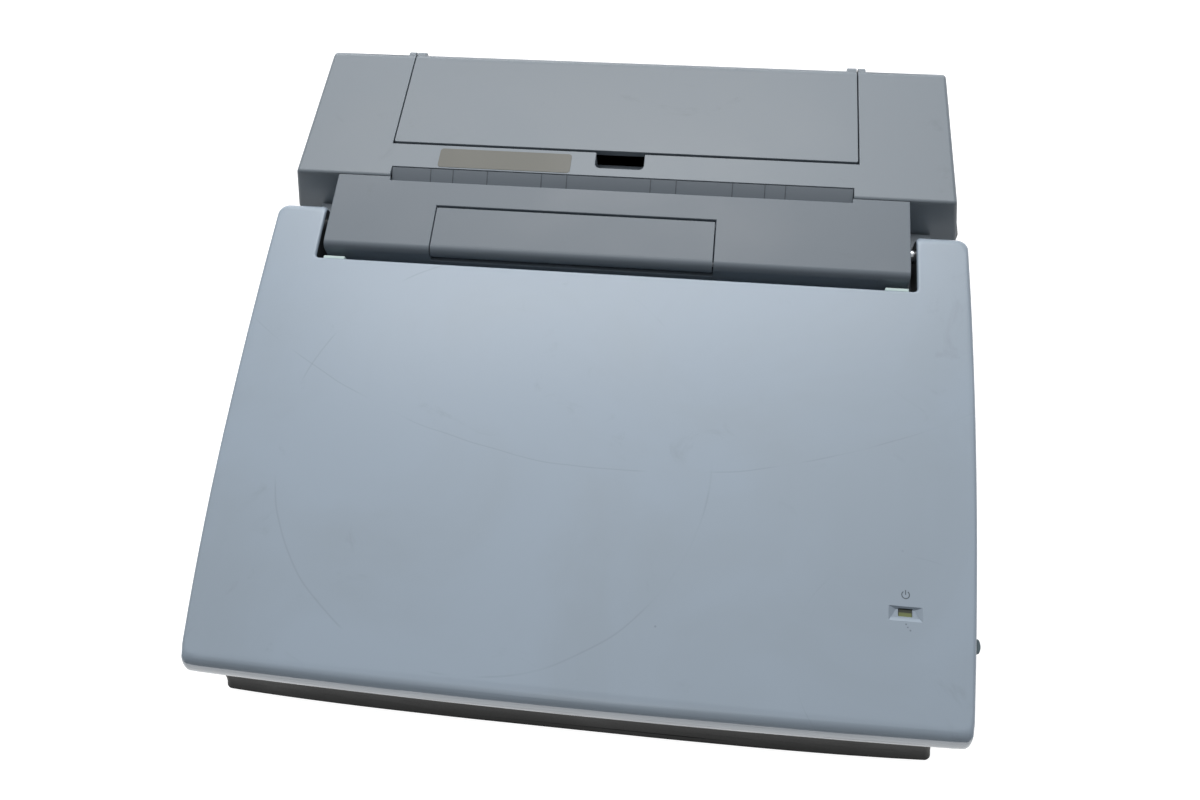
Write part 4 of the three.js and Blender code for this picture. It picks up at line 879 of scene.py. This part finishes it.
def paper_chute():
    line = chute_line()
    outline = [(p.x, p.y - 2.0) for p in reversed(line)] + [(p.x, p.y) for p in line]
    obj = make_piece("paper_chute_plate", prism_x(outline, -133.5, 133.5))
    face_outwards(obj)
    soften(obj, 0.2, 1, 34)
    dress(obj, "chute", "base", "bar_plastic", "paper_chute")


def notice_label():
    outline = rounded_rectangle(-106.8, -28.3, 98.65, 112.65, 2.0, 2.0, 6)
    obj = make_piece("label_plate", prism_z(outline, TOP + 0.01, TOP + 0.2))
    soften(obj, 0.08, 1, 34)
    dress(obj, "film", "base", "label_film", "notice_label")


# Lower case and deck
def node_span(name):
    """Lowest and highest coordinates of a sloping node, in the lid's own frame."""
    found = []
    cos, sin = math.cos(TILT), math.sin(TILT)
    for vertex in nodes[name].data.vertices:
        x, y, z = vertex.co / MM
        dy, dz = y - HINGE_Y, z - HINGE_Z
        found.append((x, dy * cos + dz * sin, dz * cos - dy * sin))
    return [min(p[i] for p in found) for i in range(3)], [max(p[i] for p in found) for i in range(3)]


def case_flare(z):
    """How far the front wall lies behind its foot at a height: it flares out at the bottom."""
    return 5.3 * (1 - math.exp(-max(0.0, z - 3.4) / 8.0))


def case_front(z, inward, rear):
    """Plan of the case's front end at a height, moved inwards by a wall, and cut off at rear."""
    back = case_flare(z) + inward
    corner = max(1.5, 3.2 - inward)
    right_grow, left_grow, foot, bow_half = -2.6, 0.6, -196.0, 184.0

    def half_at(y, grow):
        share = min(1.0, max(0.0, (-166.0 - y) / 24.0))
        share = share * share * (3 - 2 * share)
        return TRAY_HALF + grow * share - 0.15 - inward - 0.4 * case_flare(z) * share

    def side_points(edge, end_y, grow):
        side = [end_y + corner + (rear - end_y - corner) * i / 16 for i in range(1, 17)]
        bend = arc(edge - corner, end_y + corner, corner, -QUARTER, 0, 8)[1:]
        return bend + [(half_at(y, grow), y) for y in side]

    right_edge, left_edge = half_at(foot, right_grow), half_at(foot, left_grow)
    width = right_edge + left_edge - 2 * corner
    bow = []
    for x in [-(left_edge - corner) + width * i / 60 for i in range(61)]:
        bow.append((x, -195.9 + back + 1.2 * (x / bow_half) ** 2 + 1.9 * (x / bow_half) ** 4))
    right = side_points(right_edge, bow[-1][1], right_grow)
    left = side_points(left_edge, bow[0][1], left_grow)
    return bow + right + [(-x, y) for x, y in reversed(left)]


def case_trough(inward, low, high, rear, foot_round=0.0):
    """The case's front end between two heights, moved inwards by a wall, with a rounded foot."""
    turn = [QUARTER * i / 8 for i in range(9)] if foot_round else []
    levels = [(low + foot_round * (1 - math.cos(a)), foot_round * (1 - math.sin(a))) for a in turn]
    steps = [low + (high - low) * i / 14 for i in range(15)]
    levels += [(z, 0.0) for z in steps if z >= low + foot_round]
    plans = [(z, case_front(z, inward + extra, rear)) for z, extra in levels]
    return loft([[(x, min(y, rear), z) for x, y in plan] for z, plan in plans])


def lower_case():
    """The case: the node's own tray with a flared and bowed front end in place of its plain one."""
    obj = merged_copy("bottom_case")
    cut = -169.0
    combine(obj, [box_mesh(-BEYOND, BEYOND, -BEYOND, cut, -50, BEYOND)], "DIFFERENCE")
    front = make_piece("case_front", case_trough(0.0, FLOOR, 60.0, cut + 0.4, 1.4))
    cuts = [case_trough(WALL, FLOOR + WALL, 66.0, cut + 6.0)]
    for side in (-1, 1):
        cuts.append(rod_z(3.6, side * (TRAY_HALF - 20.0), -174.95, 0.0, FLOOR + WALL + 1.0, 32))
    combine(front, cuts, "DIFFERENCE")
    rim = node_span("keyboard_deck")[1][2] - WALL
    combine(front, [box_mesh(-BEYOND, BEYOND, -400, BEYOND, rim, 200)], "DIFFERENCE", sloped)
    combine_with(obj, front, "UNION")
    soften(tidy(obj), 0.5, 2, 34)
    dress(obj, "case", "base", "case_plastic", "bottom_case")


def deck_plate():
    """The keyboard deck, trimmed to the case's front, with a shallow relief for each ear of the lid."""
    obj = merged_copy("keyboard_deck")
    combine(obj, [prism_z(case_front(31.0, 0.0, REAR), -20, 120)], "INTERSECT")
    reliefs = [rod_x(EAR_SWEEP, x0, x0 + 24.0, HINGE_Y, HINGE_Z, 96) for x0 in (-190.0, 166.0)]
    combine(obj, reliefs, "DIFFERENCE")
    soften(tidy(obj), 0.5, 2, 34)
    dress(obj, "housing", "base", "housing_plastic", "keyboard_deck")


def contrast_knob():
    """The slide knob, with the shallow half-round outline that shows past the lid's edge."""
    obj = merged_copy("contrast_slider")
    x, y, half = 193.9, -146.4, 4.4
    turn = [math.pi * (i / 24 - 0.5) for i in range(25)]
    outline = [(x + 2.85 * math.cos(a), y + half * math.sin(a)) for a in turn]
    outline += [(x - 4.0, y + half), (x - 4.0, y - half)]
    combine(obj, [prism_z(outline, 40, 70)], "INTERSECT")
    soften(tidy(obj), 0.5, 3, 50)
    dress(obj, "knob", "contrast_knob", "dark_plastic", "contrast_slider")


def stop_pad(end, x0, x1):
    """A soft pad in a front corner of the lid's notch, which the bar's roll meets when the lid opens."""
    front, rear = -NOTCH_REACH + 0.02, -NOTCH_REACH + 2.3
    corners = [(front, 1.5), (rear, 1.5), (rear, 7.6), (front, 7.6)]
    outline = rounded_polygon(corners, [0, 0.9, 0.9, 0], 4)
    obj = make_piece("stop_pad_" + end, prism_x(outline, x0, x1), sloped)
    soften(obj, 0.5, 3, 34)
    dress(obj, "pad", "lid", "pad_rubber", "lid_stop_pad_" + end)


# Keys
KEY_PITCH, KEY_GAP, KEY_RISE = 19.05, 2.4, 6.6
KEY_SINK = 0.4  # how deep a cap's foot stands in its carrier strip
KEY_ROWS = {
    "key_row_function": [2.0] * 8,
    "key_row_number": [1.0] * 14 + [2.0],
    "key_row_upper": [1.5] + [1.0] * 13 + [1.5],
    "key_row_home": [1.75] + [1.0] * 12 + [2.25],
    "key_row_lower": [2.25] + [1.0] * 11 + [2.75],
    "key_row_space": [1.5, 1.5, 1.5, 4.0, 3.0, 1.5, 1.5, 1.5],
}


def key_cap(width, depth, rise):
    """A key cap with sloping sides, rounded shoulders and a dished top, its foot at z = 0."""

    def ring(inward, rearward, z, sag=0.0):
        half, front, rear = width / 2 - inward, -depth / 2 + inward, depth / 2 - inward - rearward
        corner = max(0.5, 2.2 - inward * 0.3)
        outline = rounded_rectangle(-half, half, front, rear, corner, corner, 4)
        reach = min(half, 7.0)
        dish = [sag * (1 - min(1.0, max(0.0, abs(x) - half + reach) / reach) ** 2) for x, _ in outline]
        return [(x, y, z - drop) for (x, y), drop in zip(outline, dish)]

    rings = [
        ring(0.0, 0.0, 0.0),
        ring(0.1, 0.0, 1.2),
        ring(1.6, 0.6, rise - 0.7),
        ring(1.8, 0.7, rise - 0.25),
    ]
    for step in (0.0, 0.5, 1.2, 2.2, 3.4):
        rings.append(ring(2.2 + step, 0.8, rise - 0.02, 0.05 + 0.5 * (step / 3.4)))
    return loft(rings)


def key_row(name, shares):
    """One row of caps, placed by a Geometry Nodes tree for each cap width, on its carrier strip."""
    low, high = node_span(name)
    middle, foot = (low[1] + high[1]) / 2, high[2] - KEY_RISE
    strip = rounded_rectangle(low[0], high[0], low[1], high[1], 0.6, 0.6, 2)
    obj = make_piece(name + "_caps", prism_z(strip, low[2], foot), sloped)
    whole = bmesh.new()
    whole.from_mesh(obj.data)
    finishes = [2] * len(whole.faces)
    left = -sum(shares) * KEY_PITCH / 2
    places = {share: [] for share in sorted(set(shares))}
    for share in shares:
        places[share].append((left + share * KEY_PITCH / 2, 0.0, 0.0))
        left += share * KEY_PITCH
    for share, points in places.items():
        batch = make_piece("caps", (points, []))
        points, faces = key_cap(share * KEY_PITCH - KEY_GAP, KEY_PITCH - KEY_GAP, KEY_RISE + KEY_SINK)
        raised = [sloped(x, y + middle, z + foot - KEY_SINK) for x, y, z in points]
        instance_on_points(batch, make_piece("cap_shape", (raised, faces)), FINISH["key"])
        whole.from_mesh(batch.data)
        letters = share == 1.0 or share >= 3.0
        finishes += [0 if letters else 1] * (len(whole.faces) - len(finishes))
        remove(batch)
    whole.to_mesh(obj.data)
    whole.free()
    obj.data.shade_smooth()
    obj.data.set_sharp_from_angle(angle=math.radians(40))
    dress(obj, "key", name.replace("key_row", "keys"), "key_plastic", name)
    obj.data.materials.append(FINISH["grey_key"])
    obj.data.materials.append(FINISH["dark"])
    obj.data.polygons.foreach_set("material_index", finishes)


# Build
for row, shares in KEY_ROWS.items():
    key_row(row, shares)
lid_shell()
lid_bezel()
power_mark()
printer_housing()
printer_cover()
hinge_bar()
paper_flap()
paper_chute()
# The first set of marks is painted shade: its darker plastic stands for the shaded side of each raised line.
size_marks("size_marks_dark", 0.0, "groove")
size_marks("size_marks_light", 0.6, "bar")
notice_label()
lower_case()
deck_plate()
contrast_knob()
stop_pad("left", -164.0, -151.5)
stop_pad("right", 151.5, 164.0)

FEET = ["rubber_foot_" + place for place in ("front_left", "front_right", "rear_left", "rear_right")]
COPIES = [(name, "rubber", "base", "black_rubber", 0.6) for name in FEET] + [
    ("power_switch_knob", "dark", "switch_knob", "dark_plastic", 0.5),
    ("eject_button", "key", "eject", "key_plastic", 0.4),
    ("print_carriage", "dark", "carriage", "dark_plastic", 0.5),
    ("ink_cartridge", "cartridge", "carriage", "key_plastic", 0.8),
    ("floppy_drive", "dark", "base", "dark_plastic", 0.4),
    ("power_inlet", "dark", "base", "dark_plastic", 0.4),
    ("hinge_clutch_left", "dark", "base", "dark_plastic", 0.4),
    ("hinge_clutch_right", "dark", "base", "dark_plastic", 0.4),
    ("paper_guide", "dark", "base", "dark_plastic", 0.4),
]
for name, finish, body, slot, width in COPIES:
    dress(soften(merged_copy(name), width), finish, body, slot, name)

NODE_FINISH = {
    "steel": ["cover_hinge_pin_left", "cover_hinge_pin_right", "flap_hinge_pin", "printer_frame_left"]
    + ["printer_frame_right", "feed_motor", "carriage_motor", "keyboard_plate", "case_screw_front_left"]
    + ["case_screw_front_right", "case_screw_rear_left", "case_screw_rear_right"],
    "shaft": ["carriage_rod", "lid_hinge_left", "lid_hinge_right"],
    "board": ["main_board", "power_supply", "lcd_circuit_board"],
    "rubber": ["feed_roller", "pinch_roller", "carriage_belt"],
    "gear": ["feed_gear", "motor_pinion", "drive_pulley", "idler_pulley"],
    "lamp": ["power_lamp"],
    "display": ["lcd_panel"],
}
for finish, names in NODE_FINISH.items():
    for name in names:
        nodes[name].data.materials.clear()
        nodes[name].data.materials.append(FINISH[finish])


# Stage, lights and camera
def seen_directly(tree, *rays):
    """1 for rays of the named kinds, and 0 for all others."""
    path = add_node(tree, "LightPath", {})
    seen = path.outputs[rays[0]]
    for ray in rays[1:]:
        seen = math_node(tree, "ADD", seen, path.outputs[ray], clamp=ray == rays[-1])
    return seen


def stage_floor():
    """A white floor that shows as plain white, but keeps the machine's shadow."""
    material, tree, shader, _ = start_material("white_floor")
    feed(tree, shader, {"Base Color": (0.42, 0.42, 0.42, 1), "Roughness": 0.9, "Specular IOR Level": 0.1})
    seen = seen_directly(tree, "Is Camera Ray", "Is Glossy Ray", "Is Transmission Ray")
    glow = add_node(tree, "Emission", {"Strength": scaled(tree, seen, 0.93)})
    both = add_node(tree, "AddShader", {0: shader.outputs[0], 1: glow.outputs[0]})
    feed(tree, tree.nodes["Material Output"], {"Surface": both.outputs[0]})
    corners = [(-4000, -4000, 0), (4000, -4000, 0), (4000, 4000, 0), (-4000, 4000, 0)]
    floor = make_piece("floor", (corners, [(0, 1, 2, 3)]))
    floor.data.materials.append(material)


def studio_world():
    """White where the camera sees it, and a soft sky that is brighter above and behind elsewhere."""
    world = bpy.data.worlds.new("studio")
    bpy.context.scene.world = world
    world.use_nodes = True
    tree = world.node_tree
    white = add_node(tree, "Background", {"Color": (1, 1, 1, 1), "Strength": 1.0})
    direction = add_node(tree, "TexCoord", {}).outputs["Generated"]
    split = add_node(tree, "SeparateXYZ", {0: direction}).outputs
    lean = math_node(tree, "ADD", split["Z"], scaled(tree, split["Y"], 0.7))
    strength = scaled(tree, ramp_node(tree, lean, 0.1, 1.0), 0.54, 0.1)
    sky = feed(tree, tree.nodes["Background"], {"Color": (0.94, 0.97, 1.0, 1), "Strength": strength})
    seen = seen_directly(tree, "Is Camera Ray", "Is Transmission Ray")
    mix = add_node(tree, "MixShader", {"Fac": seen, 1: sky.outputs[0], 2: white.outputs[0]})
    feed(tree, tree.nodes["World Output"], {"Surface": mix.outputs[0]})


def area_light(name, place, target, size, power):
    data = bpy.data.lights.new(name, "AREA")
    data.shape = "RECTANGLE"
    data.size, data.size_y = size
    data.energy = power
    lamp = make_object(name, data)
    lamp.location = place
    lamp.rotation_euler = (Vector(target) - Vector(place)).to_track_quat("-Z", "Y").to_euler()


def place_camera():
    """The fitted camera: its focal length is 984.79 pixels in a picture 1200 pixels wide."""
    right = Vector((0.992697, 0.107263, -0.055194))
    down = Vector((0.070162, -0.885592, -0.459133))
    forward = Vector((-0.098127, 0.451908, -0.886651))
    data = bpy.data.cameras.new("camera")
    data.sensor_width = 36.0
    data.lens = 984.79 / 1200 * 36.0
    data.clip_start = 0.01
    camera = make_object("camera", data)
    turn = Matrix((right, -down, -forward)).transposed().to_4x4()
    camera.matrix_world = Matrix.Translation((0.054532, -0.273780, 0.533629)) @ turn
    bpy.context.scene.camera = camera


stage_floor()
studio_world()
area_light("overhead", (-0.14, 0.9, 1.45), (0.0, 0.0, 0.0), (1.4, 0.9), 19.5)
area_light("rear_rim", (-0.3, 1.7, 0.45), (0.0, 0.1, 0.08), (1.8, 0.3), 6.0)
place_camera()
bpy.context.scene.view_settings.view_transform = "Standard"
